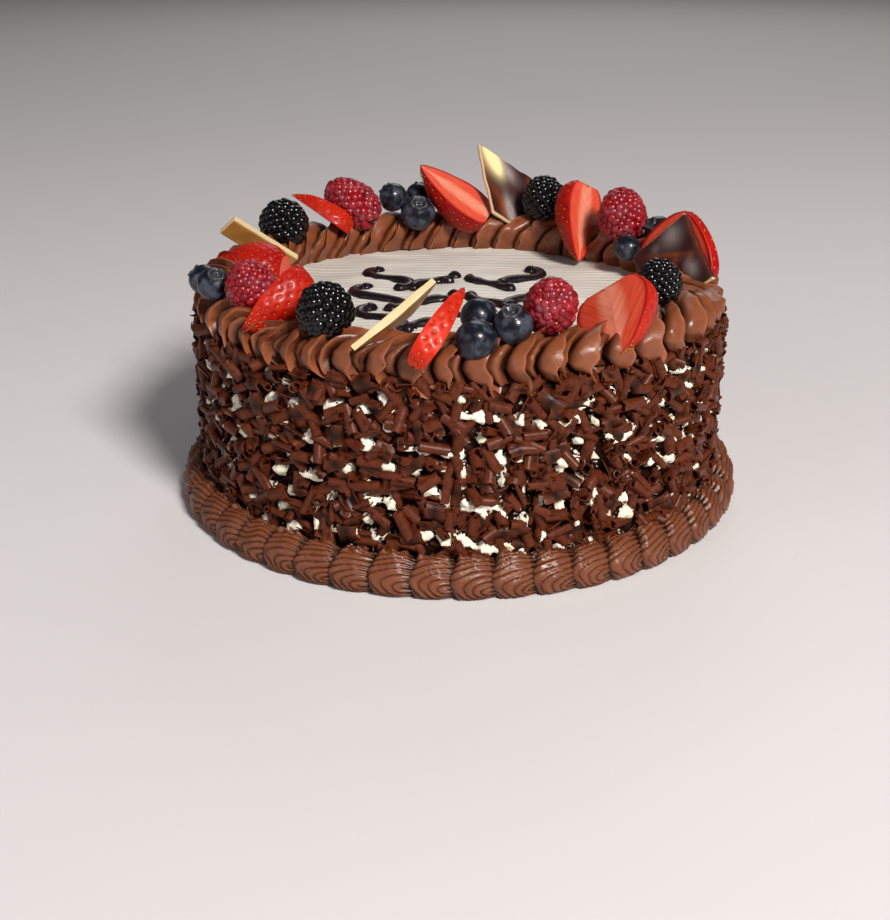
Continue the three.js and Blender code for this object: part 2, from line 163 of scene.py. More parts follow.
def quarter_round(share):
    """Height of a quarter of a circle, whose share from its edge to its top goes from 0 to 1."""
    return np.sqrt(np.clip(1 - (1 - np.clip(share, 0, 1)) ** 2, 0, 1))


def ripple(points, size, seed, waves=14):
    """Smooth noise of about that size in mm, mostly from -1 to 1: a sum of waves in drawn directions."""
    draw = np.random.default_rng(seed)
    points = np.asarray(points, float)
    total = np.zeros(points.shape[:-1])
    for _ in range(waves):
        direction = draw.normal(size=points.shape[-1])
        direction *= 2 * PI / (size * draw.uniform(0.75, 1.5) * np.linalg.norm(direction))
        total += np.sin(points @ direction + draw.uniform(0, 2 * PI))
    return total / math.sqrt(waves)


def spline(points, share):
    """A smooth line through the points, read at shares from 0 to 1 of its way."""
    points = np.asarray(points, float)
    padded = np.vstack([2 * points[0] - points[1], points, 2 * points[-1] - points[-2]])
    place = np.clip(np.asarray(share, float), 0, 1) * (len(points) - 1)
    step = np.minimum(place.astype(int), len(points) - 2)
    t = (place - step)[..., None]
    a, b, c, d = (padded[step + k] for k in range(4))
    return b + 0.5 * t * (c - a + t * (2 * a - 5 * b + 4 * c - d + t * (3 * (b - c) + d - a)))


def grid(rows, columns, wrap_columns=False, flip=False):
    """Quads over points that are numbered row by row."""
    i = np.arange(rows - 1)[:, None] * columns
    j = np.arange(columns if wrap_columns else columns - 1)
    above, right = i + columns, (j + 1) % columns
    quads = stacked(i + j, above + j, above + right, i + right).reshape(-1, 4)
    return quads[:, ::-1] if flip else quads


def bareness(points):
    """How bare of curls the side is at those points: patches of cream show where this is over about 1."""
    return ripple(points, 8.0, 77)


def two_sided(rows, columns, flip):
    """Faces of a sheet whose upper points are numbered row by row, then its lower ones, with its rim."""
    quads = grid(rows, columns, flip=flip)
    count = rows * columns
    border = np.concatenate([
        np.arange(columns),
        np.arange(1, rows) * columns + columns - 1,
        (rows - 1) * columns + np.arange(columns - 2, -1, -1),
        np.arange(rows - 2, 0, -1) * columns,
    ])
    ahead = np.roll(border, -1)
    rim = stacked(border, ahead, ahead + count, border + count)
    return quads, quads[:, ::-1] + count, rim[:, ::-1] if flip else rim


class Shape:
    """A growing mesh: points in mm, faces of three or four corners, and named values at the points."""

    def __init__(self):
        self.points = []
        self.faces = {3: [], 4: []}
        self.marks = {}
        self.count = 0

    def add(self, points, *faces, **marks):
        points = np.asarray(points, float).reshape(-1, 3)
        for group in faces:
            self.faces[group.shape[1]].append(group + self.count)
        for name, value in marks.items():
            value = np.asarray(value, float)
            width = 3 if value.ndim and value.shape[-1] == 3 and value.size == 3 * len(points) else 1
            value = value.reshape(-1, 3) if width == 3 else np.broadcast_to(value.ravel(), len(points))
            self.marks.setdefault(name, []).append((self.count, value))
        self.points.append(points)
        self.count += len(points)

    def piece(self, name, finish, slot, *nodes, sharp=None):
        """Makes the piece, which stands for the nodes. Edges over sharp degrees stay crisp."""
        mesh = bpy.data.meshes.new(name)
        points = np.concatenate(self.points)
        mesh.vertices.add(len(points))
        mesh.vertices.foreach_set("co", (points * MM).astype(np.float32).ravel())
        groups = [np.concatenate(group) for group in self.faces.values() if group]
        corners = np.concatenate([group.ravel() for group in groups])
        sizes = np.concatenate([np.full(len(group), group.shape[1]) for group in groups])
        mesh.loops.add(len(corners))
        mesh.loops.foreach_set("vertex_index", corners.astype(np.int32))
        mesh.polygons.add(len(sizes))
        starts = np.concatenate([[0], np.cumsum(sizes)[:-1]])
        mesh.polygons.foreach_set("loop_start", starts.astype(np.int32))
        for mark, values in self.marks.items():
            self.write_mark(mesh, mark, values, len(points))
        mesh.update(calc_edges=True)
        mesh.validate()
        mesh.shade_smooth()
        if sharp is not None:
            mesh.set_sharp_from_angle(angle=math.radians(sharp))
        mesh.materials.append(finish.material)
        made = bpy.data.objects.new(name, mesh)
        bpy.context.scene.collection.objects.link(made)
        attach(made, "root")
        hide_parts(*nodes)

    def dress(self, node, finish, slot, sharp=None):
        """Makes the piece that stands for a topping's node."""
        self.piece(node + "_dressed", finish, slot, node, sharp=sharp)

    @staticmethod
    def write_mark(mesh, mark, values, count):
        wide = values[0][1].ndim == 2
        full = np.zeros((count, 3) if wide else count, np.float32)
        for start, value in values:
            full[start : start + len(value)] = value
        attribute = mesh.attributes.new(mark, "FLOAT_VECTOR" if wide else "FLOAT", "POINT")
        attribute.data.foreach_set("vector" if wide else "value", full.ravel())


def placed(points, topping):
    """Local points of a topping, in mm, moved to where it sits on the cake."""
    turn = Matrix.Rotation(math.radians(topping["turn"]), 3, "Z")
    lean = Matrix.Rotation(math.radians(topping["lean"]), 3, "Y")
    spin = Matrix.Rotation(math.radians(topping["spin"]), 3, "Z")
    return np.asarray(points, float) @ np.array(turn @ lean @ spin).T + polar(*topping["at"])


def ball(steps):
    """The points, from the centre, and the triangles of a ball of radius 1."""
    made = bmesh.new()
    bmesh.ops.create_icosphere(made, subdivisions=steps, radius=1)
    points = np.array([vertex.co for vertex in made.verts])
    triangles = np.array([[corner.index for corner in face.verts] for face in made.faces])
    made.free()
    return points, triangles


def golden_points(count, low, high):
    """Points of a unit ball on a golden spiral, spread evenly over the heights from low to high."""
    height = low + (high - low) * (np.arange(count) + 0.5) / count
    around = np.arange(count) * GOLDEN_ANGLE
    out = np.sqrt(1 - height**2)
    return stacked(out * np.cos(around), out * np.sin(around), height)


def axes_from(normals, hint):
    """For each normal, two directions square to it. The first one follows the hint."""
    first = hint - normals * np.sum(normals * hint, axis=1, keepdims=True)
    first /= np.maximum(np.linalg.norm(first, axis=1, keepdims=True), 1e-6)
    return first, np.cross(normals, first)


# ---- Node materials ----


def srgb(red, green, blue_light):
    """Linear colour of a screen colour that is given from 0 to 255."""
    lit = [value / 255 for value in (red, green, blue_light)]
    return tuple(value / 12.92 if value < 0.04045 else ((value + 0.055) / 1.055) ** 2.4 for value in lit)


def tinted(colour, *factors):
    """A colour whose red, green and blue are scaled, by one factor or by three."""
    factors = factors if len(factors) == 3 else factors * 3
    return [min(1, value * factor) for value, factor in zip(colour, factors)]


class Finish:
    """A node material. Its constants are set on the shader's own sockets."""

    def __init__(self, name, constants):
        self.material = bpy.data.materials.new(name)
        self.material.use_nodes = True
        self.nodes = self.material.node_tree.nodes
        self.links = self.material.node_tree.links
        self.shader = self.nodes["Principled BSDF"]
        for socket, value in constants.items():
            self.shader.inputs[socket].default_value = value
        self.bumped = None

    def node(self, kind, inputs=(), **settings):
        made = self.nodes.new("ShaderNode" + kind)
        for key, value in settings.items():
            setattr(made, key, value)
        for socket, value in dict(inputs).items():
            self.feed(made.inputs[socket], value)
        return made

    def feed(self, socket, value):
        if isinstance(value, bpy.types.NodeSocket):
            self.links.new(value, socket)
        elif socket.type == "RGBA" and len(value) == 3:
            socket.default_value = (*value, 1)
        else:
            socket.default_value = value

    def soak(self, *reaches):
        """How far red, green and blue light reach under the surface, as shares of the subsurface scale."""
        self.shader.inputs["Subsurface Radius"].default_value = reaches

    def mark(self, name, output="Fac"):
        return self.node("Attribute", attribute_name=name).outputs[output]

    def place(self):
        return self.node("TexCoord").outputs["Object"]

    def noise(self, size, detail=3.0, rough=0.55, vector=None):
        """Noise whose lumps are about that many mm across."""
        inputs = {"Vector": vector or self.place(), "Scale": 1 / (size * MM)}
        inputs |= {"Detail": detail, "Roughness": rough}
        return self.node("TexNoise", inputs).outputs["Fac"]

    def blotches(self, size, bottom, top, low=0.3, high=0.7):
        """Soft noise that runs from bottom, where it's under low, to top, where it's over high."""
        return self.ramp(self.noise(size), low, high, bottom, top)

    def cells(self, size, output="Distance"):
        """Cells about that many mm across."""
        inputs = {"Vector": self.place(), "Scale": 1 / (size * MM)}
        return self.node("TexVoronoi", inputs).outputs[output]

    def stretched(self, vector, scale):
        return self.node("Mapping", {"Vector": vector, "Scale": scale}).outputs["Vector"]

    def ramp(self, value, low, high, bottom=0.0, top=1.0):
        inputs = {"Value": value, "From Min": low, "From Max": high, "To Min": bottom, "To Max": top}
        return self.node("MapRange", inputs, clamp=True).outputs["Result"]

    def calc(self, operation, first, second=0.0):
        return self.node("Math", {0: first, 1: second}, operation=operation).outputs["Value"]

    def times(self, first, second):
        return self.calc("MULTIPLY", first, second)

    def mixed(self, share, first, second):
        made = self.node("Mix", data_type="RGBA", blend_type="MIX")
        self.feed(made.inputs["Factor"], share)
        self.feed(made.inputs[6], first)
        self.feed(made.inputs[7], second)
        return made.outputs[2]

    def bump(self, height, distance, strength=1.0):
        """Adds relief of that many mm on top of what is there."""
        inputs = {"Height": height, "Distance": distance * MM, "Strength": strength}
        if self.bumped:
            inputs["Normal"] = self.bumped
        self.bumped = self.node("Bump", inputs).outputs["Normal"]
        self.links.new(self.bumped, self.shader.inputs["Normal"])

    def colour(self, value):
        self.feed(self.shader.inputs["Base Color"], value)

    def rough(self, value):
        self.feed(self.shader.inputs["Roughness"], value)


# ---- Settings ----


def length(name, description, size):
    """A length setting whose default is given in mm."""
    return bpy.props.FloatProperty(
        name=name, description=description, default=size * MM, min=0.0, precision=5, unit="LENGTH"
    )


def colour(name, what, default):
    """A colour setting whose default is a screen colour, from 0 to 255."""
    looks = {"description": "Colour of " + what, "default": srgb(*default), "subtype": "COLOR"}
    return bpy.props.FloatVectorProperty(name=name, size=3, min=0.0, max=1.0, **looks)


def number(name, description, default):
    return bpy.props.IntProperty(name=name, description=description, default=default, min=1)


def strength(name, description, default, unit="NONE"):
    return bpy.props.FloatProperty(name=name, description=description, default=default, min=0.0, unit=unit)


class CreamSettings(bpy.types.PropertyGroup):
    """The white cream under the curls and on top."""

    comb: length("Comb pitch", "Distance between the comb's lines on the top", 4.3)
    comb_depth: length("Comb depth", "Height of the comb's lines", 0.5)
    lumps: length("Lumps", "How far the side's cream swells between the curls", 3.3)
    top: colour("Top", "the combed top", (214, 206, 196))
    side: colour("Side", "the cream between the curls", (238, 230, 211))
    # Painted shade: the dark brown that the side takes behind and between the curls, where they shade it.
    gap_shade: colour("Gap_shade", "the chocolate crumbs behind the curls", (30, 13, 8))


class CurlSettings(bpy.types.PropertyGroup):
    """The chocolate curls that are pressed into the side."""

    rolls: number("Rolls", "How many tightly rolled curls", 1350)
    halves: number("Open curls", "How many open curls", 430)
    shards: number("Shards", "How many flat shards", 360)
    shortest: length("Shortest", "Length of the shortest roll", 6.0)
    longest: length("Longest", "Length of the longest roll", 11.5)
    radius: length("Radius", "Radius of a usual roll", 2.1)
    sheet: length("Sheet", "Thickness of the chocolate sheet", 0.42)
    outermost: length("Outermost", "Distance from the axis that no curl passes", 111.6)
    dark: colour("Dark", "the curls", (29, 12, 3))
    edge: colour("Edge", "the broken edges", (92, 40, 20))


class RopeSettings(bpy.types.PropertyGroup):
    """The rope of chocolate cream round the top."""

    radius: length("Radius", "Distance of the rope's middle from the axis", 98.8)
    height: length("Height", "Height of the rope's middle", 85.1)
    reach: length("Reach", "Half-width of the rope", 10.9)
    rise: length("Rise", "Half-height of the rope", 10.2)
    groove: length("Groove", "Depth of a usual groove between two coils", 7.2)
    coils: number("Coils", "How many coils go round the rope", 50)
    cream: colour("Chocolate cream", "the piped chocolate cream", (128, 71, 43))
    # Painted shade: the colour that the chocolate cream is darkened towards in its grooves, hollows and pits.
    shade: colour("Deep cream", "the cream down in the grooves", (44, 17, 6))


class ShellSettings(bpy.types.PropertyGroup):
    """The shells piped round the foot."""

    shells: number("Shells", "How many shells go round the foot", 48)
    height: length("Height", "Height of a shell", 15.6)
    ridge: length("Ridge pitch", "Distance between a shell's ridges", 1.95)
    relief: length("Ridge relief", "Height of a shell's ridges", 0.85)


class PipingSettings(bpy.types.PropertyGroup):
    """The ornament piped on the cream."""

    radius: length("Radius", "Half-width of a piped stroke", 2.75)
    dot: length("Dot", "Radius of a piped dot", 3.1)
    glaze: colour("Glaze", "the piped chocolate", (22, 11, 14))


class FruitSettings(bpy.types.PropertyGroup):
    """The berries."""

    raspberry: colour("Raspberry", "the raspberries", (146, 6, 20))
    bramble: colour("Bramble", "the brambles", (5, 4, 6))
    blueberry: colour("Blueberry", "the blueberries' skin", (11, 14, 22))
    bloom: colour("Bloom", "the bloom on the blueberries", (70, 78, 92))
    skin: colour("Skin", "a strawberry's ripe skin", (152, 5, 6))
    pale_skin: colour("Pale skin", "a strawberry's less ripe skin", (198, 40, 8))
    flesh: colour("Flesh", "a cut strawberry", (212, 66, 40))
    core: colour("Core", "the middle of a cut strawberry", (234, 152, 124))
    seed: colour("Seed", "the strawberries' seeds", (186, 108, 38))


class ChocolateSettings(bpy.types.PropertyGroup):
    """The battens and the plaques."""

    ivory: colour("Ivory", "the battens' pale edges", (216, 192, 144))
    caramel: colour("Caramel", "the battens' broad faces", (176, 124, 58))
    dark: colour("Dark", "the plaques' dark chocolate", (50, 17, 18))
    rust: colour("Rust", "the plaques' rusty lines", (126, 56, 18))
    grey: colour("Grey", "the plaques' soft grey patches", (150, 136, 134))
    pale: colour("Pale", "the plaques' cream patches", (240, 218, 160))


class StageSettings(bpy.types.PropertyGroup):
    """The camera, the floor and the lights."""

    distance: length("Distance", "Distance of the camera from the cake's axis", 542.0)
    height: length("Height", "Height of the camera over the floor", 236.0)
    key: strength("Key light", "Strength of the key light", 60.0, "POWER")
    fill: strength("Fill light", "Strength of the fill light", 7.0, "POWER")
    sky: strength("Sky", "Strength of the light from all round", 0.12)
    floor: colour("Floor", "the floor", (214, 210, 210))


class CakeSettings(bpy.types.PropertyGroup):
    """All the settings of the cake."""

    cream: bpy.props.PointerProperty(type=CreamSettings)
    curls: bpy.props.PointerProperty(type=CurlSettings)
    rope: bpy.props.PointerProperty(type=RopeSettings)
    shells: bpy.props.PointerProperty(type=ShellSettings)
    piping: bpy.props.PointerProperty(type=PipingSettings)
    fruit: bpy.props.PointerProperty(type=FruitSettings)
    chocolate: bpy.props.PointerProperty(type=ChocolateSettings)
    stage: bpy.props.PointerProperty(type=StageSettings)


# ---- The cream ----


def top_cream_finish(settings):
    finish = Finish("combed cream", {"Subsurface Weight": 0.12, "Subsurface Scale": 0.004, "IOR": 1.45})
    finish.soak(1.0, 0.8, 0.6)
    body = finish.mixed(finish.blotches(24, 0, 1, 0.35, 0.7), settings.top, tinted(settings.top, 0.86))
    # Painted shade: down in the comb's grooves the cream is darkened towards half its colour.
    line = finish.calc("ABSOLUTE", finish.calc("SINE", finish.times(finish.mark("comb"), PI)))
    finish.colour(finish.mixed(finish.ramp(line, 0, 0.6, 0.6, 0), body, tinted(settings.top, 0.5)))
    finish.rough(finish.blotches(6, 0.42, 0.6))
    finish.bump(finish.noise(1.3, 2), 0.12)
    return finish


def side_cream_finish(settings):
    """Cream in the bare patches, and a painted shade of dark chocolate brown over the rest of the side, where
    the gaps between the curls fall in shadow.
    """
    soft = {"Subsurface Weight": 0.1, "Subsurface Scale": 0.003, "Specular IOR Level": 0.05}
    finish = Finish("side cream", soft)
    finish.soak(1.0, 0.8, 0.6)
    dusty = tinted(settings.side, 0.8, 0.72, 0.56)
    cream = finish.mixed(finish.blotches(7, 0, 1, 0.5, 0.75), settings.side, dusty)
    frayed = finish.ramp(finish.noise(1.8, 4), 0.3, 0.7, -0.32, 0.24)
    ragged = finish.calc("ADD", finish.mark("bare"), frayed)
    # Painted shade: outside the ragged bare patches, the side is coloured as dark as the shadow between the
    # curls.
    finish.colour(finish.mixed(finish.ramp(ragged, 0.19, 0.23), settings.gap_shade, cream))
    finish.rough(finish.blotches(5, 0.4, 0.6))
    finish.bump(finish.noise(2.4), 0.5)
    return finish


def turned_faces(rings, around):
    """Faces of a closed turned shape whose rings go from its bottom middle to its top middle."""
    quads = grid(rings, around, wrap_columns=True, flip=True)
    bottom, top = rings * around, rings * around + 1
    ring = np.arange(around)
    ahead = (ring + 1) % around
    last = (rings - 1) * around
    return quads, stacked(bottom, ahead, ring), stacked(top, last + ring, last + ahead)


class CAKE_OT_cream(bpy.types.Operator):
    """Build the cream: the body of the cake with its lumpy side, and its combed top"""

    bl_idname = "cake.cream"
    bl_label = "Cream"

    def execute(self, context):
        settings = context.scene.berry_cake.cream
        self.body(settings)
        self.combed_top(settings)
        return {"FINISHED"}

    def body(self, settings):
        """The whole body, whose top stays just under the combed one."""
        around, middle = 560, 60
        hidden_top = CREAM_TOP - 1.5
        edge = ((CREAM_RADIUS - 0.6, CREAM_TOP - 0.8), (CREAM_RADIUS - 4, CREAM_TOP - 0.6))
        profile = [(middle, 0), (CREAM_RADIUS - 1, 0), (CREAM_RADIUS, 1.5)]
        profile += [(CREAM_RADIUS, height) for height in range(9, 77)]
        profile += [*edge, (CREAM_RADIUS - 8.5, hidden_top), (middle, hidden_top)]
        profile = np.array(profile, float)
        height = profile[:, 1:]
        points = polar(np.arange(around) * 360 / around, profile[:, :1], height)
        bare = bareness(points)
        swell = settings.lumps / MM * (0.1 + smoothstep(0.2, 0.9, bare))
        swell = swell + 0.8 * ripple(points, 4, 22) + 0.35 * ripple(points, 1.8, 23)
        band = smoothstep(9, 14, height) * smoothstep(77.5, 74, height)
        out = np.clip(swell, -0.6, 4.2) * band
        points[..., :2] *= (1 + out / CREAM_RADIUS)[..., None]
        shape = Shape()
        ends = [(0, 0, 0), (0, 0, hidden_top)]
        # Where the bare mark is low, the side's finish paints the cream with the dark gap shade.
        shown = np.clip(0.5 * bare * band, 0, 1)
        shape.add(np.vstack([points.reshape(-1, 3), ends]), *turned_faces(len(profile), around),
                  bare=np.concatenate([shown.ravel(), [0, 0]]))
        shape.piece("cake_body", side_cream_finish(settings), "cream", "cake", sharp=60)

    def combed_top(self, settings):
        """The cream inside the rope. Each row of points runs across the cake, along the comb's lines."""
        rows, columns = 500, 24
        edge = CREAM_RADIUS - 8
        end = PI / 2 * 0.985
        across = edge * np.sin(np.linspace(-end, end, rows))
        half = np.sqrt(edge**2 - across**2)
        x = half[:, None] * np.linspace(-1, 1, columns)
        y = np.repeat(across[:, None], columns, axis=1)
        flat = stacked(x, y)
        bent = y + 0.5 * ripple(flat * (0.25, 1), 30, 31)
        pitch = settings.comb / MM
        line = np.abs(np.sin(PI * bent / pitch)) ** 0.55
        firm = 0.75 + 0.35 * ripple(flat * (0.3, 1), 14, 32)
        relief = settings.comb_depth / MM * (line - 0.6) * firm
        height = CREAM_TOP - 0.1 + relief + 0.35 * ripple(flat, 45, 33)
        both = [stacked(x, y, z) for z in (height, CREAM_TOP - 1.6)]
        shape = Shape()
        shape.add(np.stack(both), *two_sided(rows, columns, True), comb=np.stack([bent / pitch] * 2))
        shape.piece("combed_top", top_cream_finish(settings), "cream", "cake", sharp=70)


# ---- Curls ----


def curl_finish(settings):
    finish = Finish("curls", {"IOR": 1.46, "Specular IOR Level": 0.22})
    along = finish.stretched(finish.mark("local", "Vector"), (1, 1, 0.12))
    streaks = finish.noise(0.9, 3, 0.6, along)
    # The tone mark picks between deep and light: partly each curl's own random tone, partly painted shade, as
    # the curls that lie under others get darker tones.
    tone = finish.mark("tone")
    light = tinted(settings.dark, 1.5)
    deep = tinted(settings.dark, 0.4)
    body = finish.mixed(tone, deep, light)
    body = finish.mixed(finish.ramp(streaks, 0.35, 0.75, 0, 0.45), body, light)
    broken = finish.times(finish.mark("edge"), finish.blotches(2, 0.45, 1, 0.3, 0.6))
    finish.colour(finish.mixed(broken, body, settings.edge))
    finish.rough(finish.ramp(streaks, 0.3, 0.7, 0.3, 0.5))
    finish.bump(streaks, 0.1, 0.7)
    finish.bump(finish.noise(1.2, 3), 0.14, 0.8)
    return finish


# Shares of the way round and of the way up between one curl and the next, which spread them evenly.
SPREAD_AROUND, SPREAD_UP = 0.7548776662, 0.5698402910
CURLS_LOW, CURLS_HIGH = 12.0, 82.0


def side_places(draw):
    """Places all over the side, as an angle and a height, that leave a few patches of cream bare."""
    index = 0
    while True:
        index += 1
        around = 360 * (index * SPREAD_AROUND % 1)
        height = CURLS_LOW + (CURLS_HIGH - CURLS_LOW) * ((index * SPREAD_UP + 0.31) % 1)
        around += draw.normal(0, 1.2)
        height += draw.normal(0, 1.2)
        if bareness(polar(around, CREAM_RADIUS, height)[None])[0] < draw.uniform(0.36, 1.12):
            yield around, height


def laid_on_side(local, around, height, lie, tilt, depth):
    """Lays local points, whose long axis is Z and whose outer side is X, on the cake's side."""
    turn = Matrix.Rotation(math.radians(around), 3, "Z")
    turn = turn @ Matrix.Rotation(tilt, 3, "Y") @ Matrix.Rotation(lie, 3, "X")
    return local @ np.array(turn).T + polar(around, depth, height)


def sheet_strip(outer, inner, length_mm, draw, rings, ragged):
    """A strip of thin sheet with that outer and inner section line, along Z, with ragged ends."""
    section = np.vstack([outer, inner[::-1]])
    count = len(section)
    z = np.linspace(-0.5, 0.5, rings)[:, None] * length_mm
    taper = 1 + draw.uniform(-0.16, 0.16) * z / length_mm
    bow = draw.uniform(-0.6, 0.6) * (1 - (2 * z / length_mm) ** 2)
    x, y = section[:, 0] * taper + bow, section[:, 1] * taper
    points = stacked(x, y, z)
    teeth = draw.normal(0, ragged, len(outer))
    teeth = np.concatenate([teeth, teeth[::-1]])
    points[0, :, 2] += teeth
    points[-1, :, 2] += np.roll(teeth, 3)
    quads = grid(rings, count, wrap_columns=True)
    pairs = np.arange(len(outer) - 1)
    low = stacked(pairs, pairs + 1, count - 2 - pairs, count - 1 - pairs)
    high = low[:, ::-1] + (rings - 1) * count
    edge = np.zeros((rings, count))
    edge[[0, -1]] = 1
    edge[:, [0, len(outer) - 1, len(outer), -1]] = 1
    return points, (quads, low, high), edge, length_mm / 2


def rolled_section(radius, turns, sheet, steps):
    """Outer and inner line of a sheet that is rolled up in a spiral."""
    angle = np.linspace(0, turns * 2 * PI, steps)
    pitch = sheet * 1.7 / (2 * PI)
    out = radius - pitch * (turns * 2 * PI - angle)
    return [circle(angle) * reach[:, None] for reach in (out, out - sheet)]


class CAKE_OT_curls(bpy.types.Operator):
    """Build the chocolate curls on the side: rolls, open curls and shards"""

    bl_idname = "cake.curls"
    bl_label = "Curls"

    def execute(self, context):
        settings = context.scene.berry_cake.curls
        finish = curl_finish(settings)
        self.scatter("curl_rolls", finish, settings, settings.rolls, 101, self.roll)
        self.scatter("curl_halves", finish, settings, settings.halves, 202, self.open_curl)
        self.scatter("curl_shards", finish, settings, settings.shards, 303, self.shard)
        return {"FINISHED"}

    def scatter(self, name, finish, settings, count, seed, make):
        """Makes that many strips with make, lays them on the side and joins them in one piece.

        Some lie over the others, and a few of those point outwards, so that their rolled ends show.
        """
        draw = np.random.default_rng(seed)
        places = side_places(draw)
        shape = Shape()
        for _ in range(count):
            points, faces, edge, half = make(settings, draw)
            around, height = next(places)
            lie = draw.uniform(0, PI)
            reach = half * abs(math.cos(lie))
            height = min(max(height, 12.5 + reach * 0.85), 79.5 - reach * 0.7)
            over = draw.random() < 0.55
            tilt = draw.normal(0, 0.5 if over else 0.16)
            if over and draw.random() < 0.3:
                tilt = draw.choice([-1, 1]) * draw.uniform(0.8, 1.35)
            local = points.reshape(-1, 3)
            depth = CREAM_RADIUS + (draw.uniform(3.4, 4.9) if over else draw.uniform(1.3, 2.3))
            laid = laid_on_side(local, around, height, lie, tilt, depth)
            excess = np.hypot(laid[:, 0], laid[:, 1]).max() - settings.outermost / MM
            laid -= polar(around, max(0, excess), 0)
            # Partly painted shade: curls that lie under others draw darker tones on average; the spread is
            # their own random tone.
            tone = np.clip(draw.normal(0.5 if over else 0.25, 0.3), 0, 1)
            shape.add(laid, *faces, edge=edge, tone=tone, local=local * MM)
        shape.piece(name, finish, "curls", "cake", sharp=48)

    @staticmethod
    def roll(settings, draw):
        length_mm = draw.uniform(settings.shortest, settings.longest) / MM
        radius = settings.radius / MM * np.clip(draw.normal(1, 0.16), 0.6, 1.35)
        section = rolled_section(radius, draw.uniform(1.05, 1.45), settings.sheet / MM, 17)
        return sheet_strip(*section, length_mm, draw, 2, 0.25)

    @staticmethod
    def open_curl(settings, draw):
        length_mm = draw.uniform(settings.shortest, settings.longest) / MM * 0.9
        radius = settings.radius / MM * draw.uniform(1.1, 1.9)
        opening = draw.uniform(1.6, 3.4)
        angle = np.linspace(-opening / 2, opening / 2, 9) + draw.choice([0, PI], p=[0.7, 0.3])
        middle = (radius * 0.6 * math.cos(angle[4]), 0)
        outer, inner = (circle(angle) * reach - middle for reach in (radius, radius - settings.sheet / MM))
        return sheet_strip(outer, inner, length_mm, draw, 3, 0.55)

    @staticmethod
    def shard(settings, draw):
        length_mm = draw.uniform(3.5, 8.5)
        width = draw.uniform(2, 5)
        y = np.linspace(-0.5, 0.5, 4) * width + draw.normal(0, 0.25, 4)
        x = 0.5 * (y / width) ** 2 * width * draw.uniform(-0.4, 0.6)
        outer = stacked(x, y)
        return sheet_strip(outer, outer - (settings.sheet / MM * 0.9, 0), length_mm, draw, 3, 0.9)


# ---- Piped ornament ----


def glaze_finish(settings):
    finish = Finish("piped glaze", {"IOR": 1.33, "Coat Weight": 0.12, "Coat Roughness": 0.08})
    lighter = tinted(settings.glaze, 1.9)
    finish.colour(finish.mixed(finish.ramp(finish.noise(6), 0.45, 0.7), settings.glaze, lighter))
    finish.rough(finish.blotches(2.5, 0.22, 0.4))
    finish.bump(finish.noise(3.2, 2), 0.25, 0.6)
    return finish


# Each row of scrolls: its place towards the back, the length of a large scroll, and how far that one is
# from the row's middle.
PIPED_ROWS = ((34, 48, 29), (4, 56, 32), (-26, 48, 29))
PIPED_MIDDLE = -2


def scroll_line(at, length_mm, heading, bend, alike, steps):
    """Middle line of a scroll. Its ends roll to opposite sides, or where they're alike to the same one."""
    halves = []
    for side in (1, -1):
        t = side * (np.arange(steps // 2) + 0.5) / (steps // 2)
        angle = math.radians(heading) + math.radians(bend) * (t**3 if alike else t**2)
        step = side * length_mm / steps * circle(angle)
        halves.append(np.array(at) + np.cumsum(step, axis=0))
    return np.vstack([halves[1][::-1], [at], halves[0]])


class CAKE_OT_scrollwork(bpy.types.Operator):
    """Build the piped scrolls and dots on the cream, an ornament with no letters in it"""

    bl_idname = "cake.scrollwork"
    bl_label = "Scrollwork"

    def execute(self, context):
        settings = context.scene.berry_cake.piping
        shape = Shape()
        draw = np.random.default_rng(41)
        for y, length_mm, reach in PIPED_ROWS:
            for side in (-1, 1):
                outer_at = (PIPED_MIDDLE + side * reach, y)
                inner_at = (PIPED_MIDDLE + side * reach * 0.42, y - 6)
                large = scroll_line(outer_at, length_mm, side * 20, side * 200, False, 90)
                small = scroll_line(inner_at, length_mm * 0.5, side * -35, side * 150, True, 50)
                self.stroke(shape, settings, draw, large)
                self.stroke(shape, settings, draw, small)
            self.dot(shape, settings, (PIPED_MIDDLE, y + 6))
        shape.piece("piped_scrolls", glaze_finish(settings), "piping", "cake")
        return {"FINISHED"}

    def stroke(self, shape, settings, draw, line):
        """A rounded stroke whose ends close in a small ball, a little thicker where the hand slowed down."""
        count, around = len(line), 14
        share = np.linspace(0, 1, count)
        heading = np.gradient(line, axis=0)
        heading /= np.linalg.norm(heading, axis=1, keepdims=True)
        side = heading[:, ::-1] * (-1, 1)
        end = np.minimum(share, 1 - share) * count
        closed = quarter_round(end / 4)
        thick = 1 + 0.12 * np.sin(share * draw.uniform(9, 14) + draw.uniform(0, 6)) + 0.14 * (end < 7)
        width = settings.radius / MM * closed * thick
        angle = np.arange(around) * 2 * PI / around
        out, up = np.cos(angle), np.sin(angle)
        flat = line[:, None, :] + side[:, None, :] * (width[:, None, None] * out[None, :, None])
        z = CREAM_TOP - 0.1 + width[:, None] * 0.9 * np.where(up > 0, up, 0.4 * up)
        points = np.concatenate([flat, z[..., None]], axis=2)
        shape.add(points, grid(count, around, wrap_columns=True, flip=True))

    def dot(self, shape, settings, at):
        points, triangles = ball(4)
        scale = settings.dot / MM
        peak = 0.35 * smoothstep(0.75, 1, points[:, 2])
        points = points * (scale, scale, scale * 0.72) + (*at, CREAM_TOP)
        points[:, 2] += peak
        shape.add(points, triangles)


# ---- Chocolate cream: the rope and the shells ----

# Distance, in mm, between the places where the cream may have a small pit.
PIT_SPACING = 4.2


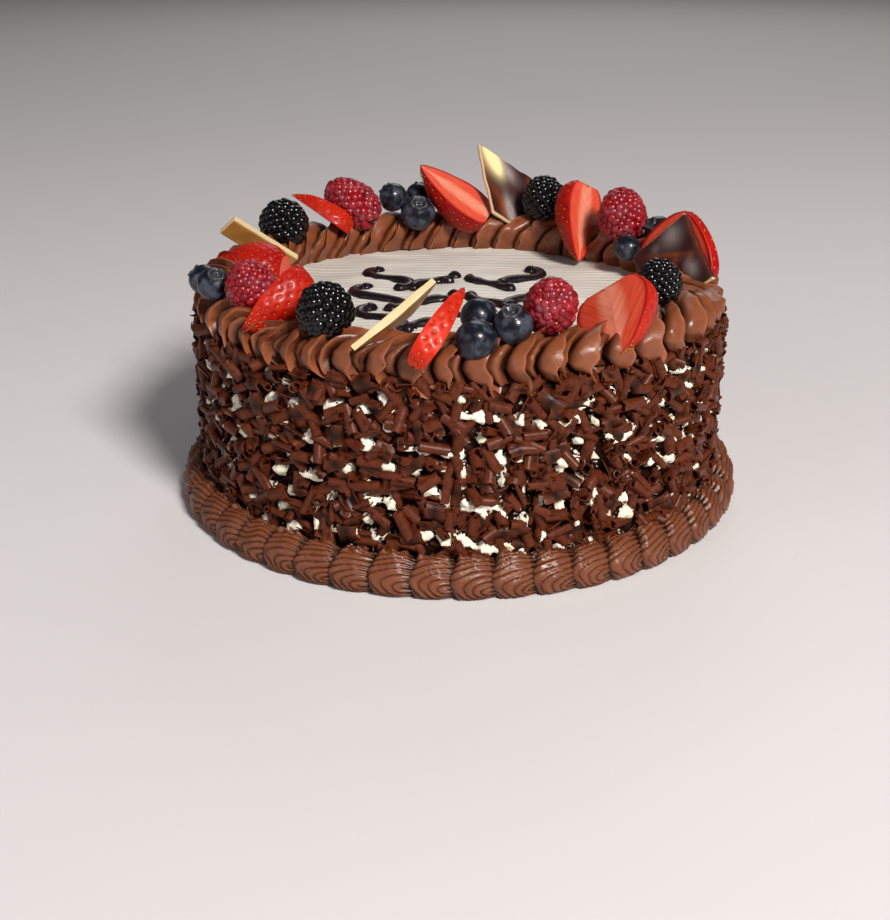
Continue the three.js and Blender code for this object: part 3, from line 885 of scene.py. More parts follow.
def chocolate_cream_finish(settings, name, lightness=1.0, ridged=False):
    """Chocolate cream with painted shade in its depths, grooves and pits, and painted highlights on its
    crests and flaps. Where it's ridged, the phase mark counts the ridges across.
    """
    finish = Finish(name, {"IOR": 1.45, "Subsurface Weight": 0.06, "Subsurface Scale": 0.002})
    finish.soak(1.0, 0.45, 0.25)
    cream = tinted(settings.cream, lightness)
    warm = tinted(cream, 0.8, 0.7, 0.6)
    shade = tinted(settings.shade, lightness)
    # Painted highlight: a lighter copy of the cream for the crests, flaps and ridge tops that catch the
    # light.
    crest = tinted(cream, 1.6, 1.65, 1.8)
    body = finish.mixed(finish.ramp(finish.noise(9), 0.35, 0.68), cream, warm)
    depth, top = finish.mark("depth"), finish.mark("crest")
    if ridged:
        # Painted shade in the grooves between the ridges, and a painted highlight on their tops.
        across = finish.calc("COSINE", finish.times(finish.mark("phase"), PI))
        round_top = finish.calc("POWER", finish.calc("ABSOLUTE", across), 0.8)
        groove = finish.times(finish.calc("SUBTRACT", 1.0, round_top), finish.mark("ridged"))
        depth = finish.calc("ADD", depth, finish.times(groove, 0.38))
        ridge = finish.times(round_top, finish.mark("ridged"))
        top = finish.times(finish.calc("POWER", ridge, 5.0), 0.5)
        finish.bump(ridge, 1.0, 1.0)
    # Painted shade: darker towards the shade colour as the depth mark goes down into a groove.
    body = finish.mixed(finish.ramp(depth, 0.2, 0.72, 0, 1), body, shade)
    # Painted highlights: the flaps and the crests are lightened towards the crest colour.
    body = finish.mixed(finish.times(finish.mark("flap"), 0.35), body, crest)
    body = finish.mixed(finish.times(top, 0.6), body, crest)
    pit = finish.ramp(finish.cells(PIT_SPACING), 0.05, 0.12, 1, 0)
    drawn = finish.ramp(finish.cells(PIT_SPACING, "Color"), 0.78, 0.8)
    pits = finish.times(pit, drawn)
    # Painted shade: the small pits are darkened towards half the shade colour, on top of their bump.
    pit_shade = finish.times(pits, 0.8)
    finish.colour(finish.mixed(pit_shade, body, tinted(settings.shade, 0.5)))
    finish.rough(finish.blotches(7, 0.3, 0.46, 0.35, 0.65))
    finish.bump(finish.noise(1.6, 3), 0.14, 0.6)
    finish.bump(finish.calc("SUBTRACT", 1.0, pits), 0.6, 1.0)
    return finish


class CAKE_OT_rope(bpy.types.Operator):
    """Build the rope border: one long spiral of chocolate cream, a coil and a deep groove at a time"""

    bl_idname = "cake.rope"
    bl_label = "Rope border"

    # Height of the surface over one coil: a wide face swells to a crisp crest, drops into a hollow, and a low
    # rounded flap follows before the groove.
    COIL = (
        (0, 0), (0.012, 0.22), (0.03, 0.44), (0.06, 0.6), (0.1, 0.7), (0.16, 0.78), (0.23, 0.85), (0.3, 0.91),
        (0.37, 0.96), (0.42, 0.99), (0.445, 1.0), (0.46, 0.96), (0.47, 0.85), (0.48, 0.68), (0.495, 0.5),
        (0.52, 0.38), (0.56, 0.36), (0.61, 0.44), (0.67, 0.52), (0.74, 0.56), (0.81, 0.54), (0.87, 0.45),
        (0.92, 0.3), (0.955, 0.15), (0.985, 0.04),
    )
    CREST, FLAP = 0.44, 0.74
    # How far the coil has got towards the one after next, at some angles of the rope's section in degrees.
    TWIST = (
        (-58, 0.17), (-42, 0.1), (-25, 0.04), (-5, 0), (25, 0.03), (55, 0.13), (90, 0.34), (125, 0.57),
        (165, 0.79), (203, 0.9), (302, 1.17),
    )
    # Where a topping has pressed the rope flatter: the angles round the cake where that starts, is full, lets
    # off and ends, and how much of the rope's upper half goes.
    PRESSED = ((-25, -15, 2, 9, 0.8), (-144, -139, -131, -125, 0.3))
    SHIFT = 2
    # Columns of the section that are turned, and that lie flat on the cream, with the angles where they part.
    TURNED, UNDER = 44, 8
    OUTER_END, INNER_END, CLOSED = -58, 203, 302

    def execute(self, context):
        settings = context.scene.berry_cake.rope
        draw = np.random.default_rng(7)
        ring, level = settings.radius / MM, settings.height / MM
        coils, steps = settings.coils, len(self.COIL)
        section = self.section_angle()
        degrees = np.degrees(section)
        coil = np.repeat(np.arange(coils), steps)[:, None]
        place, height = (np.tile(column, coils)[:, None] for column in zip(*self.COIL))
        share = np.interp(degrees, *zip(*self.TWIST))
        edges = self.coil_edges(draw, coils)

        def blend(values):
            """Each coil's own value, going over into that of the coil that it turns into."""
            return values[coil % coils] * (1 - share) + values[(coil + self.SHIFT) % coils] * share

        def along_rope(index):
            whole, index = index // coils * coils, index % coils
            return whole + edges[index] + place * (edges[index + 1] - edges[index])

        def drawn_out(middle, width, crests, flaps):
            """How far the crests and the flaps are drawn out there on the section."""
            crests, flaps = (blend(draw.uniform(*limits, coils)) for limits in (crests, flaps))
            return bell(degrees, middle, width) * (crest * crests + flap * flaps)

        along = along_rope(coil) * (1 - share) + along_rope(coil + self.SHIFT) * share
        crest = bell(place, self.CREST, 0.05)
        flap = bell(place, self.FLAP, 0.1)
        inside = smoothstep(95, 150, degrees)
        height = height - 0.3 * flap * blend(draw.uniform(-0.8, 1, coils)) * (1 - 0.4 * inside)
        height = height + 0.1 * crest * blend(draw.uniform(-1, 0.4, coils))
        depth = settings.groove / MM * (0.75 + 0.5 * blend(draw.random(coils))) * (1 - 0.45 * inside)
        size = 0.965 + 0.07 * blend(draw.random(coils))
        angle = 360 / coils * along
        wave = ripple(polar(angle, ring, level) + 40 * section[None, :, None], 45, 8)
        torn = blend((draw.random(coils) < 0.3) * 1.0)
        lean = 2.3 + 0.8 * blend(draw.uniform(-1, 1, coils)) + 0.9 * wave + 1.2 * inside
        lean = lean + torn * np.sin(4 * section)
        angle = angle + np.degrees(lean * np.clip(height, 0, 1.1) ** 3 / ring)
        lift = (1 - height) * depth
        tip = drawn_out(-40, 17, (0, 2.4), (-0.4, 2.2))
        petal = drawn_out(172, 16, (0, 2.6), (-0.5, 2.0))
        radius = ring + (settings.reach / MM * size - lift + 0.8 * tip + petal) * np.cos(section)
        rise = (settings.rise / MM * size - lift) * np.sin(section)
        z = level + rise * (1 - self.pressed(angle) * (rise > 0)) - 1.8 * tip
        points = self.softened(polar(angle, radius, z), radius, z, angle)
        points = self.under_battens(self.under_side(points, angle))
        shape = Shape()
        faces = self.faces(coils * steps, len(section), self.SHIFT * steps)
        # Painted shade: how far down in a groove each point lies, less on the inner side; the finish darkens
        # it.
        depth = np.clip(1 - height, 0, 1) * (1 - 0.4 * inside)
        # crest and flap mark where the finish paints its highlights.
        shape.add(points, faces, depth=depth, crest=crest + 0 * share, flap=flap + 0 * share)
        finish = chocolate_cream_finish(settings, "rope cream")
        shape.piece("rope_border", finish, "chocolate_cream", "top_border", sharp=50)
        return {"FINISHED"}

    @staticmethod
    def coil_edges(draw, coils):
        """Where each coil starts along the rope, counted in coils, as some are wider than others."""
        widths = 1 + 0.24 * draw.uniform(-1, 1, coils)
        return np.concatenate([[0], np.cumsum(widths)]) * coils / widths.sum()

    def section_angle(self):
        """Angle of each column, from the outer side over the top and the inner side, and back underneath."""
        outer, inner, closed = (math.radians(end) for end in (self.OUTER_END, self.INNER_END, self.CLOSED))
        turned = np.linspace(outer, inner, self.TURNED)
        return np.concatenate([turned, np.linspace(inner, closed, self.UNDER + 2)[1:-1]])

    def pressed(self, angle):
        """How much of the rope's upper half a topping has pressed away, at those angles round the cake."""
        turned = (angle + 180) % 360 - 180
        return sum(share * smoothstep(begin, full, turned) * smoothstep(end, less, turned)
                   for begin, full, less, end, share in self.PRESSED)

    def softened(self, points, radius, z, angle):
        """Adds the small unevenness of soft cream and keeps the rope off the cream under it."""
        push = 0.3 * ripple(points, 9, 9) + 0.16 * ripple(points, 3.5, 10)
        push = push + 0.8 * smoothstep(96, 86, radius) * ripple(points, 11, 12)
        radius = radius + push * np.sign(radius - 98)
        z = z + 0.3 * push
        inside = radius < CREAM_RADIUS + BORDER_GAP
        return polar(angle, radius, np.where(inside, np.maximum(z, ROPE_FOOT), z))

    def under_side(self, points, angle):
        """Lays the last columns flat on the cream, from the inner side to the outer one."""
        first, columns = self.TURNED - 1, points.shape[1]
        inner = np.hypot(points[:, first, 0], points[:, first, 1])
        outer = CREAM_RADIUS + BORDER_GAP
        for column in range(self.TURNED, columns):
            share = (column - first) / (columns - first)
            radius = np.minimum(inner * (1 - share) + outer * share, outer)
            points[:, column] = polar(angle[:, column], radius, ROPE_FOOT)
        return points

    def under_battens(self, points):
        """Presses the cream down where a batten lies on it."""
        for topping in BATTENS.values():
            start, *ends = placed(np.vstack([np.zeros(3), np.eye(3)]), topping)
            axes = np.array(ends) - start
            local = (points - start) @ axes.T
            x, y, z = (local[..., axis] for axis in range(3))
            lies = (x > -topping["thickness"] - 0.3) & (x < 0.3) & (z > -0.4) & (z < topping["length"])
            local[..., 1] = np.where(lies & (y > -1.2) & (y < 6), -1.2, y)
            points = local @ axes + start
        return points

    @staticmethod
    def faces(rows, columns, shift):
        """Quads all round the rope, where the last column goes over into a later coil's first one."""
        i, j = np.arange(rows)[:, None], np.arange(columns)
        above, right = (i + 1) % rows, (j + 1) % columns
        turned = (j + 1) // columns * shift
        far, near = (above + turned) % rows, (i + turned) % rows
        corners = (i * columns + j, above * columns + j, far * columns + right, near * columns + right)
        return stacked(*corners).reshape(-1, 4)


class CAKE_OT_shells(bpy.types.Operator):
    """Build the shells round the foot: ridged, with a round head over the tail of the one before"""

    bl_idname = "cake.shells"
    bl_label = "Foot shells"

    ROWS = 38
    COLUMNS = 64
    # The section goes up the cake's side, over the rounded top, down the outside and back along the floor.
    SECTION = (
        (0, 0), (0, 0.4), (0.03, 0.72), (0.27, 0.9), (0.58, 0.97), (0.85, 0.76), (0.99, 0.42), (0.95, 0.12),
        (0.76, 0.0), (0.35, 0.0), (0, 0),
    )

    def execute(self, context):
        settings = context.scene.berry_cake.shells
        rope = context.scene.berry_cake.rope
        finish = chocolate_cream_finish(rope, "shell cream", 0.73, ridged=True)
        draw = np.random.default_rng(17)
        shells = [self.shell(settings, draw, index) for index in range(settings.shells)]
        half = settings.shells // 2
        faces = grid(self.ROWS, self.COLUMNS, wrap_columns=True)
        for name, group in (("foot_shells_far", shells[:half]), ("foot_shells_near", shells[half:])):
            shape = Shape()
            for points, marks in group:
                shape.add(points, faces, crest=0, flap=0, **marks)
            shape.piece(name, finish, "chocolate_cream", "bottom_border", sharp=60)
        return {"FINISHED"}

    def shell(self, settings, draw, index):
        """One shell: s runs along it, from head to tail, and v over its section from the cake's side."""
        pitch = 360 / settings.shells
        s = (np.linspace(0, 1, self.ROWS) ** 1.35)[:, None]
        v = np.linspace(0, 1, self.COLUMNS, endpoint=False)[None, :]
        v = np.interp(v, (0, 0.06, 0.94, 1), (0, 0.17, 0.8, 1))
        tall = settings.height / MM * draw.uniform(0.94, 1.03)
        inner = CREAM_RADIUS + BORDER_GAP
        wide = (FOOT_RADIUS - inner) * draw.uniform(0.96, 1.0)
        head = quarter_round(s / 0.16)
        size = (0.66 + 0.34 * head) * (1 - 0.2 * smoothstep(0.4, 1.0, s))
        section = np.broadcast_to(spline(self.SECTION, v), (self.ROWS, self.COLUMNS, 2))
        out, up = section[..., 0], section[..., 1]
        around = index + (s - 0.1) * 1.3 - (0.2 * bell(v, 0.56, 0.1) - 0.06) * (1 - s) ** 3
        shown = smoothstep(0.16, 0.24, v) * smoothstep(0.8, 0.72, v) * np.ones_like(s)
        phase, uneven = self.ridges(settings, draw, s, v, index, inner * math.radians(pitch))
        ridge = 0.5 + 0.5 * np.cos(2 * PI * phase)
        relief = settings.relief / MM * (ridge * uneven - 0.45) * shown * smoothstep(0.01, 0.12, s)
        tears = smoothstep(0.2, 0.27, v) * smoothstep(0.44, 0.36, v) * smoothstep(0, 0.1, s)
        torn = ripple(stacked(s * 18, v * 20), 3.4, 900 + index)
        tears = tears * np.maximum(0, torn)
        radius = inner + np.maximum(0, out * wide * size + relief * (0.25 + 0.75 * out))
        z = np.maximum(0, up * tall * size + relief * up * 0.8 + 1.1 * tears)
        points = polar(around * pitch, np.minimum(radius, FOOT_RADIUS), z)
        # Painted shade: darker at the front end of the head and along the tail, where the next shell's head
        # lies over it.
        depth = (0.9 * smoothstep(0.1, 0.0, s) + 0.7 * smoothstep(0.66, 0.76, s)) * np.ones_like(v)
        ridged = shown * smoothstep(0, 0.08, s)
        return points, {"depth": np.clip(depth, 0, 1), "phase": phase, "ridged": ridged}

    @staticmethod
    def ridges(settings, draw, s, v, index, arc):
        """Count of the ridges, which run along the shell and turn back round a swirl low near its tail."""
        along = (s - 0.66) * 1.3 * arc + draw.uniform(-1, 1)
        rise = (0.645 + draw.uniform(-0.02, 0.02) - v) * 50 - 1.6 * (s - 0.5)
        spread = stacked(along, rise)
        drawn_out = 0.85 - 0.3 * smoothstep(-3, 6, rise)
        swirl = np.where(along > 0, np.abs(rise), np.hypot(along * drawn_out, rise))
        swirl = swirl + 0.35 * ripple(spread, 11, 500 + index)
        phase = swirl / (settings.ridge / MM) + draw.uniform(0, 0.5)
        return phase, 1 + 0.3 * ripple(spread * (0.4, 1), 5, 580 + index)


# ---- Berries ----


def raspberry_finish(fruit):
    finish = Finish("raspberry", {"Subsurface Weight": 0.35, "Subsurface Scale": 0.003, "IOR": 1.42})
    finish.soak(1.0, 0.15, 0.12)
    # deep serves both the drupelets' own darker random tones and the painted shade between them.
    deep = tinted(fruit.raspberry, 0.42, 0.35, 0.5)
    tone = finish.mark("tone")
    body = finish.mixed(finish.ramp(tone, 0, 1, 0, 0.8), fruit.raspberry, deep)
    # Painted shade: darker where a drupelet turns in towards its neighbours.
    body = finish.mixed(finish.ramp(finish.mark("depth"), 0.2, 0.9), body, deep)
    # A pale pink veil on the drupelets' outer tops, in soft blotches: partly the berry's own pale bloom,
    # partly painted sheen.
    veil = finish.times(finish.blotches(5, 0, 0.35, 0.45, 0.75), finish.mark("crown"))
    body = finish.mixed(veil, body, srgb(196, 110, 130))
    finish.colour(finish.mixed(finish.mark("hair"), body, srgb(200, 150, 110)))
    finish.rough(finish.blotches(2.2, 0.22, 0.42, 0.35, 0.7))
    finish.bump(finish.noise(0.7, 2), 0.06, 0.6)
    return finish


def bramble_finish(fruit):
    finish = Finish("bramble", {"IOR": 1.3, "Coat Weight": 0.3, "Coat Roughness": 0.03})
    ruby = tinted(fruit.bramble, 2.0, 1.0, 1.2)
    body = finish.mixed(finish.ramp(finish.mark("tone"), 0.5, 1, 0, 0.8), fruit.bramble, ruby)
    finish.colour(finish.mixed(finish.mark("hair"), body, srgb(120, 90, 60)))
    finish.rough(finish.blotches(2, 0.18, 0.34, 0.35, 0.7))
    finish.bump(finish.noise(0.9, 2), 0.05, 0.5)
    return finish


def drupelet_shape(topping, count, taper, swell, plump, seed, hairs):
    """A berry of round drupelets on a golden spiral, over a core with a hollow where it was picked."""
    draw = np.random.default_rng(seed)
    half_width, half_length = topping["width"] / 2, topping["length"] / 2
    area = 4 * PI * half_width * (half_width + 2 * half_length) / 3
    drupelet = swell * math.sqrt(area / count)
    seats = golden_points(count, -0.9, 0.995)
    seats += draw.normal(0, 0.035, seats.shape)
    seats /= np.linalg.norm(seats, axis=1, keepdims=True)
    unit, triangles = ball(2)
    sizes = drupelet * draw.uniform(0.88, 1.12, count)
    body = np.array([half_width, half_width, half_length]) - drupelet * plump
    normals = seats / body
    normals /= np.linalg.norm(normals, axis=1, keepdims=True)
    narrowed = 1 - taper * seats[:, 2]
    centres = seats * body * stacked(narrowed, narrowed, 1)
    shape = Shape()
    for centre, normal, size, tone in zip(centres, normals, sizes, draw.random(count)):
        out = unit @ normal
        points = unit * size + normal * (out * size * 0.12)[:, None] + centre
        # depth is the painted shade where a drupelet turns inwards; crown marks its outer top.
        shape.add(placed(points, topping), triangles, tone=tone, depth=smoothstep(0.55, -0.1, out),
                  crown=smoothstep(0.3, 1, out))
    core_points = unit * body * 0.98
    core_points[:, 2] += 0.35 * half_length * smoothstep(0.75, 1, -unit[:, 2])
    # The core only shows between the drupelets, so it takes the full painted shade.
    shape.add(placed(core_points, topping), triangles, tone=1, depth=1)
    add_hairs(shape, topping, centres + normals * drupelet, normals, draw, hairs)
    return shape


def add_hairs(shape, topping, roots, normals, draw, count):
    """Short dry styles, each a thin bent spike from the crown of a drupelet."""
    steps = np.linspace(0, 1, 4)[:, None]
    thick = 0.07 * (1 - 0.8 * steps)
    faces = grid(4, 3, wrap_columns=True, flip=True)
    for index in draw.choice(len(roots), count, replace=False):
        lean = normals[index] + draw.normal(0, 0.7, 3)
        lean /= np.linalg.norm(lean)
        bend = draw.normal(0, 0.35, 3)
        side, other = axes_from(lean[None], draw.normal(size=3))
        line = roots[index] + lean * steps * draw.uniform(1.2, 2.2) + bend * steps**2
        ring = [line + thick * (math.cos(a) * side + math.sin(a) * other) for a in (0, 2.1, 4.2)]
        shape.add(placed(np.stack(ring, axis=1), topping), faces, hair=1, tone=0)


class CAKE_OT_raspberries(bpy.types.Operator):
    """Build the raspberries"""

    bl_idname = "cake.raspberries"
    bl_label = "Raspberries"

    def execute(self, context):
        finish = raspberry_finish(context.scene.berry_cake.fruit)
        for seed, (name, topping) in enumerate(RASPBERRIES.items()):
            shape = drupelet_shape(topping, 150, 0.1, 0.74, 1.05, 600 + seed, 80)
            shape.dress(name, finish, "raspberry")
        return {"FINISHED"}


class CAKE_OT_brambles(bpy.types.Operator):
    """Build the brambles"""

    bl_idname = "cake.brambles"
    bl_label = "Brambles"

    def execute(self, context):
        finish = bramble_finish(context.scene.berry_cake.fruit)
        for seed, (name, topping) in enumerate(BRAMBLES.items()):
            shape = drupelet_shape(topping, 104, 0.05, 0.68, 0.86, 650 + seed, 8)
            shape.dress(name, finish, "bramble")
        return {"FINISHED"}


def blueberry_finish(fruit):
    finish = Finish("blueberry", {"IOR": 1.36, "Coat Weight": 0.2, "Coat Roughness": 0.1})
    local = finish.mark("local", "Vector")
    bloom = finish.times(finish.ramp(finish.noise(4.5, 4, 0.6, local), 0.46, 0.64, 0.02, 0.8),
                        finish.ramp(finish.noise(0.8, 2, 0.6, local), 0.3, 0.6, 0.6, 1))
    violet = finish.ramp(finish.noise(8, 2, 0.5, local), 0.5, 0.75, 0, 0.5)
    body = finish.mixed(violet, fruit.blueberry, srgb(52, 30, 52))
    body = finish.mixed(bloom, body, fruit.bloom)
    finish.colour(finish.mixed(finish.mark("crown"), body, srgb(84, 80, 84)))
    finish.rough(finish.ramp(bloom, 0.1, 0.6, 0.3, 0.55))
    finish.bump(finish.noise(1.2, 3, 0.5, local), 0.08, 0.6)
    return finish


class CAKE_OT_blueberries(bpy.types.Operator):
    """Build the blueberries, each with a crown of five small lobes round its hollow"""

    bl_idname = "cake.blueberries"
    bl_label = "Blueberries"

    def execute(self, context):
        finish = blueberry_finish(context.scene.berry_cake.fruit)
        for seed, (name, topping) in enumerate(BLUEBERRIES.items()):
            self.berry(name, topping, finish, np.random.default_rng(700 + seed))
        return {"FINISHED"}

    def berry(self, name, topping, finish, draw):
        rows, around = 48, 60
        share = np.linspace(0, 1, rows)
        polar_angle = np.radians(np.interp(share, [0, 0.45, 1], [0.5, 38, 179.5]))[:, None]
        azimuth = (np.arange(around) * 2 * PI / around)[None, :]
        lobes = 0.5 + 0.5 * np.cos(5 * azimuth + draw.uniform(0, 6) + 0.5 * np.sin(azimuth * 2))
        degrees = np.degrees(polar_angle)
        rim = bell(degrees, 22 + 3 * lobes, 4.2) * (0.05 + 0.09 * lobes)
        hollow = -0.17 * smoothstep(21, 12, degrees) * (1 + 0.1 * np.cos(6 * azimuth))
        radius = topping["width"] / 2 * (0.985 + rim + hollow)
        out = radius * np.sin(polar_angle)
        points = stacked(out * np.cos(azimuth), out * np.sin(azimuth), radius * np.cos(polar_angle) * 0.94)
        points = points * (1 + 0.012 * ripple(points, 9, draw.integers(10**6)))[..., None]
        crown = np.clip(rim * 9, 0, 1) * 0.75 + 0.35 * smoothstep(20, 12, degrees) * np.ones_like(lobes)
        shape = Shape()
        shape.add(placed(points, topping), grid(rows, around, wrap_columns=True),
                  crown=crown, local=points * MM)
        shape.dress(name, finish, "blueberry")


# ---- Strawberries ----

# Half-width of a strawberry from its hull end, where along is 0, to its tip: along, share of the half-width.
STRAWBERRY_OUTLINE = ((0, 0.62), (0.08, 0.86), (0.27, 1), (0.5, 0.9), (0.74, 0.62), (0.92, 0.28), (1, 0))
SEED_SPACING = 3.0


def strawberry_finish(fruit):
    finish = Finish("strawberry", {"Subsurface Weight": 0.3, "Subsurface Scale": 0.003, "IOR": 1.42,
                                   "Specular IOR Level": 0.25, "Coat Weight": 0.1, "Coat Roughness": 0.1})
    finish.soak(1.0, 0.25, 0.12)
    local = finish.mark("local", "Vector")
    uneven = finish.ramp(finish.noise(9, 2, 0.5, local), 0.3, 0.7, -0.2, 0.2)
    ripe = finish.calc("ADD", finish.mark("ripe"), uneven)
    skin = finish.mixed(finish.ramp(ripe, 0.1, 0.9), fruit.pale_skin, fruit.skin)
    # Painted shade: the skin is darkened down in the dimples round the seeds.
    skin = finish.mixed(finish.times(finish.mark("dimple"), 0.45), skin,
                        tinted(fruit.skin, 0.4))
    fibres = finish.stretched(finish.mark("fibre", "Vector"), (1, 0.1, 1))
    streaks = finish.ramp(finish.noise(1.1, 2, 0.5, fibres), 0.36, 0.68)
    core = finish.mark("core")
    flesh = finish.mixed(finish.times(streaks, finish.ramp(core, 0, 0.8, 0.16, 0.6)),
                         fruit.flesh, fruit.core)
    flesh = finish.mixed(finish.ramp(core, 0.1, 1, 0, 0.55), flesh, fruit.core)
    rim = finish.mixed(finish.mark("rim"), flesh, tinted(fruit.skin, 0.9))
    body = finish.mixed(finish.mark("cut"), skin, rim)
    finish.colour(finish.mixed(finish.mark("seed"), body, fruit.seed))
    cut_rough = finish.ramp(streaks, 0, 1, 0.34, 0.5)
    finish.rough(finish.mixed(finish.mark("cut"), finish.blotches(3, 0.36, 0.52), cut_rough))
    finish.bump(finish.noise(1.1, 3, 0.5, local), 0.12, 0.6)
    finish.bump(finish.times(streaks, finish.mark("cut")), 0.05, 0.6)
    return finish


def strawberry_section(share, width):
    line = spline(STRAWBERRY_OUTLINE, share)
    return line[..., 0], np.maximum(line[..., 1], 0) * width / 2


def seed_seats(topping, half_angle):
    """Places of the seeds on the skin, as shares along the outline and angles, on a golden spiral."""
    width, length_mm = topping["width"], topping["length"]
    skin_area = PI * width * 0.75 * length_mm
    count = int(skin_area / SEED_SPACING**2 * 1.1)
    index = np.arange(count)
    share = 0.04 + 0.94 * ((index + 0.5) / count) ** 0.92
    angle = (index * GOLDEN_ANGLE + PI) % (2 * PI) - PI
    kept = np.abs(angle) < half_angle - 0.06
    return share[kept], angle[kept]


def skin_point(share, angle, topping):
    along, half = strawberry_section(share, topping["width"])
    return stacked(half * np.cos(angle), half * np.sin(angle), along * topping["length"])


def skin_normal(share, angle, topping):
    step = 0.01
    ahead = skin_point(np.minimum(share + step, 1), angle, topping)
    behind = skin_point(np.maximum(share - step, 0), angle, topping)
    along = ahead - behind
    side = skin_point(share, angle + step, topping) - skin_point(share, angle - step, topping)
    normal = np.cross(side, along)
    return normal / np.maximum(np.linalg.norm(normal, axis=-1, keepdims=True), 1e-9)


def add_seeds(shape, seats, topping, draw):
    """Small pointed seeds, each sunk in its dimple with the point towards the hull."""
    share, angle = seats
    unit, triangles = ball(2)
    centres = skin_point(share, angle, topping)
    normals = skin_normal(share, angle, topping)
    up, side = axes_from(normals, np.array([0.0, 0.0, 1.0]))
    for centre, normal, first, second in zip(centres, normals, up, side):
        size = draw.uniform(0.85, 1.1)
        out, across, along = (unit[:, axis, None] for axis in range(3))
        local = out * 0.22 * normal + across * 0.26 * (1 - 0.35 * along) * second + along * 0.46 * first
        shape.add(placed(centre + local * size - normal * 0.32, topping), triangles, seed=1)


def cut_face(along, half, across, z, third, is_cut, seed):
    """Marks of a cut face, with its pale core and red rim, and the relief of its fibres in mm.

    along and half give the outline row by row, and across is how far a point is from the core's middle.
    """
    distance = np.abs(across)
    core_half = 0.42 * half[:, None] * smoothstep(1.02, 0.6, along)[:, None]
    core = smoothstep(1.25, 0.35, distance / np.maximum(core_half, 0.5)) * is_cut
    rim = smoothstep(2.3, 0.3, half[:, None] - distance) * is_cut
    fibre = stacked(z + 0.9 * distance, distance, third)
    relief = 0.04 * is_cut * ripple(fibre[..., :2] * (1, 0.15), 3, seed)
    return {"core": core, "rim": rim, "fibre": fibre * MM}, relief


def strawberry_shape(topping, seed):
    """A lengthwise piece: skin round the +X side, and flat cut faces that meet on the axis."""
    draw = np.random.default_rng(seed)
    half_angle = math.radians(topping["spread"]) / 2
    width, length_mm = topping["width"], topping["length"]
    rows, cut_columns = 62, 22
    skin_columns = max(24, int(78 * topping["spread"] / 180))
    share = np.concatenate([np.zeros(6), np.linspace(0.004, 1, rows)])
    cap = np.concatenate([np.linspace(0.02, 0.97, 6), np.ones(rows)])[:, None]
    end = np.full(cut_columns, half_angle)
    skin = np.linspace(-half_angle, half_angle, skin_columns)
    angle = np.concatenate([-end, skin, end])[None, :]
    face = np.linspace(0.0, 0.985, cut_columns)
    out = np.concatenate([face, np.ones(skin_columns), face[::-1]])[None, :]
    along, half = strawberry_section(share, width)
    reach = half[:, None] * cap * out
    z = (along * length_mm)[:, None] + 1.2 * (1 - cap)
    points = stacked(reach * np.cos(angle), reach * np.sin(angle), z)
    on_skin = (out >= 1) * (cap >= 1) * np.ones_like(reach)
    normals = skin_normal(share[:, None] * np.ones_like(angle), angle * np.ones_like(share)[:, None], topping)
    seats = seed_seats(topping, half_angle)
    seat_points = skin_point(*seats, topping)
    nearest = nearest_distance(points, seat_points)
    dimple = bell(nearest, 0, 0.85) * on_skin
    swell = smoothstep(0.4, 2.2, nearest) * on_skin
    lumps = 0.5 * ripple(points, 14, seed + 1) * on_skin * smoothstep(0, 0.1, share)[:, None]
    points += normals * (0.1 * swell - 0.36 * dimple + lumps * 0.6 - 0.1 * on_skin)[..., None]
    is_cut = (out < 1) * (cap >= 1) * np.ones_like(reach)
    marks, relief = cut_face(along, half, reach, z, 0.3 * angle, is_cut, seed + 2)
    relief = relief - 0.12 * marks["core"] * smoothstep(0.1, 0.3, along)[:, None]
    face_normal = stacked(-np.abs(np.sin(angle)), np.sign(angle) * np.cos(angle), 0)
    points += face_normal * (relief * smoothstep(0, 0.15, out) * smoothstep(1, 0.9, out))[..., None]
    faces = grid(len(share), points.shape[1], wrap_columns=True, flip=True)
    shape = Shape()
    shape.add(placed(points, topping), faces, cut=is_cut + (cap < 1) * 1.0, dimple=dimple,
              ripe=topping["ripeness"], local=points * MM, **marks)
    add_seeds(shape, seats, topping, draw)
    return shape


def nearest_distance(points, seats):
    """Distance of each point of a grid to the nearest seat."""
    flat = points.reshape(-1, 3)
    nearest = np.full(len(flat), 1e9)
    for seat in seats:
        nearest = np.minimum(nearest, np.sum((flat - seat) ** 2, axis=1))
    return np.sqrt(nearest).reshape(points.shape[:-1])


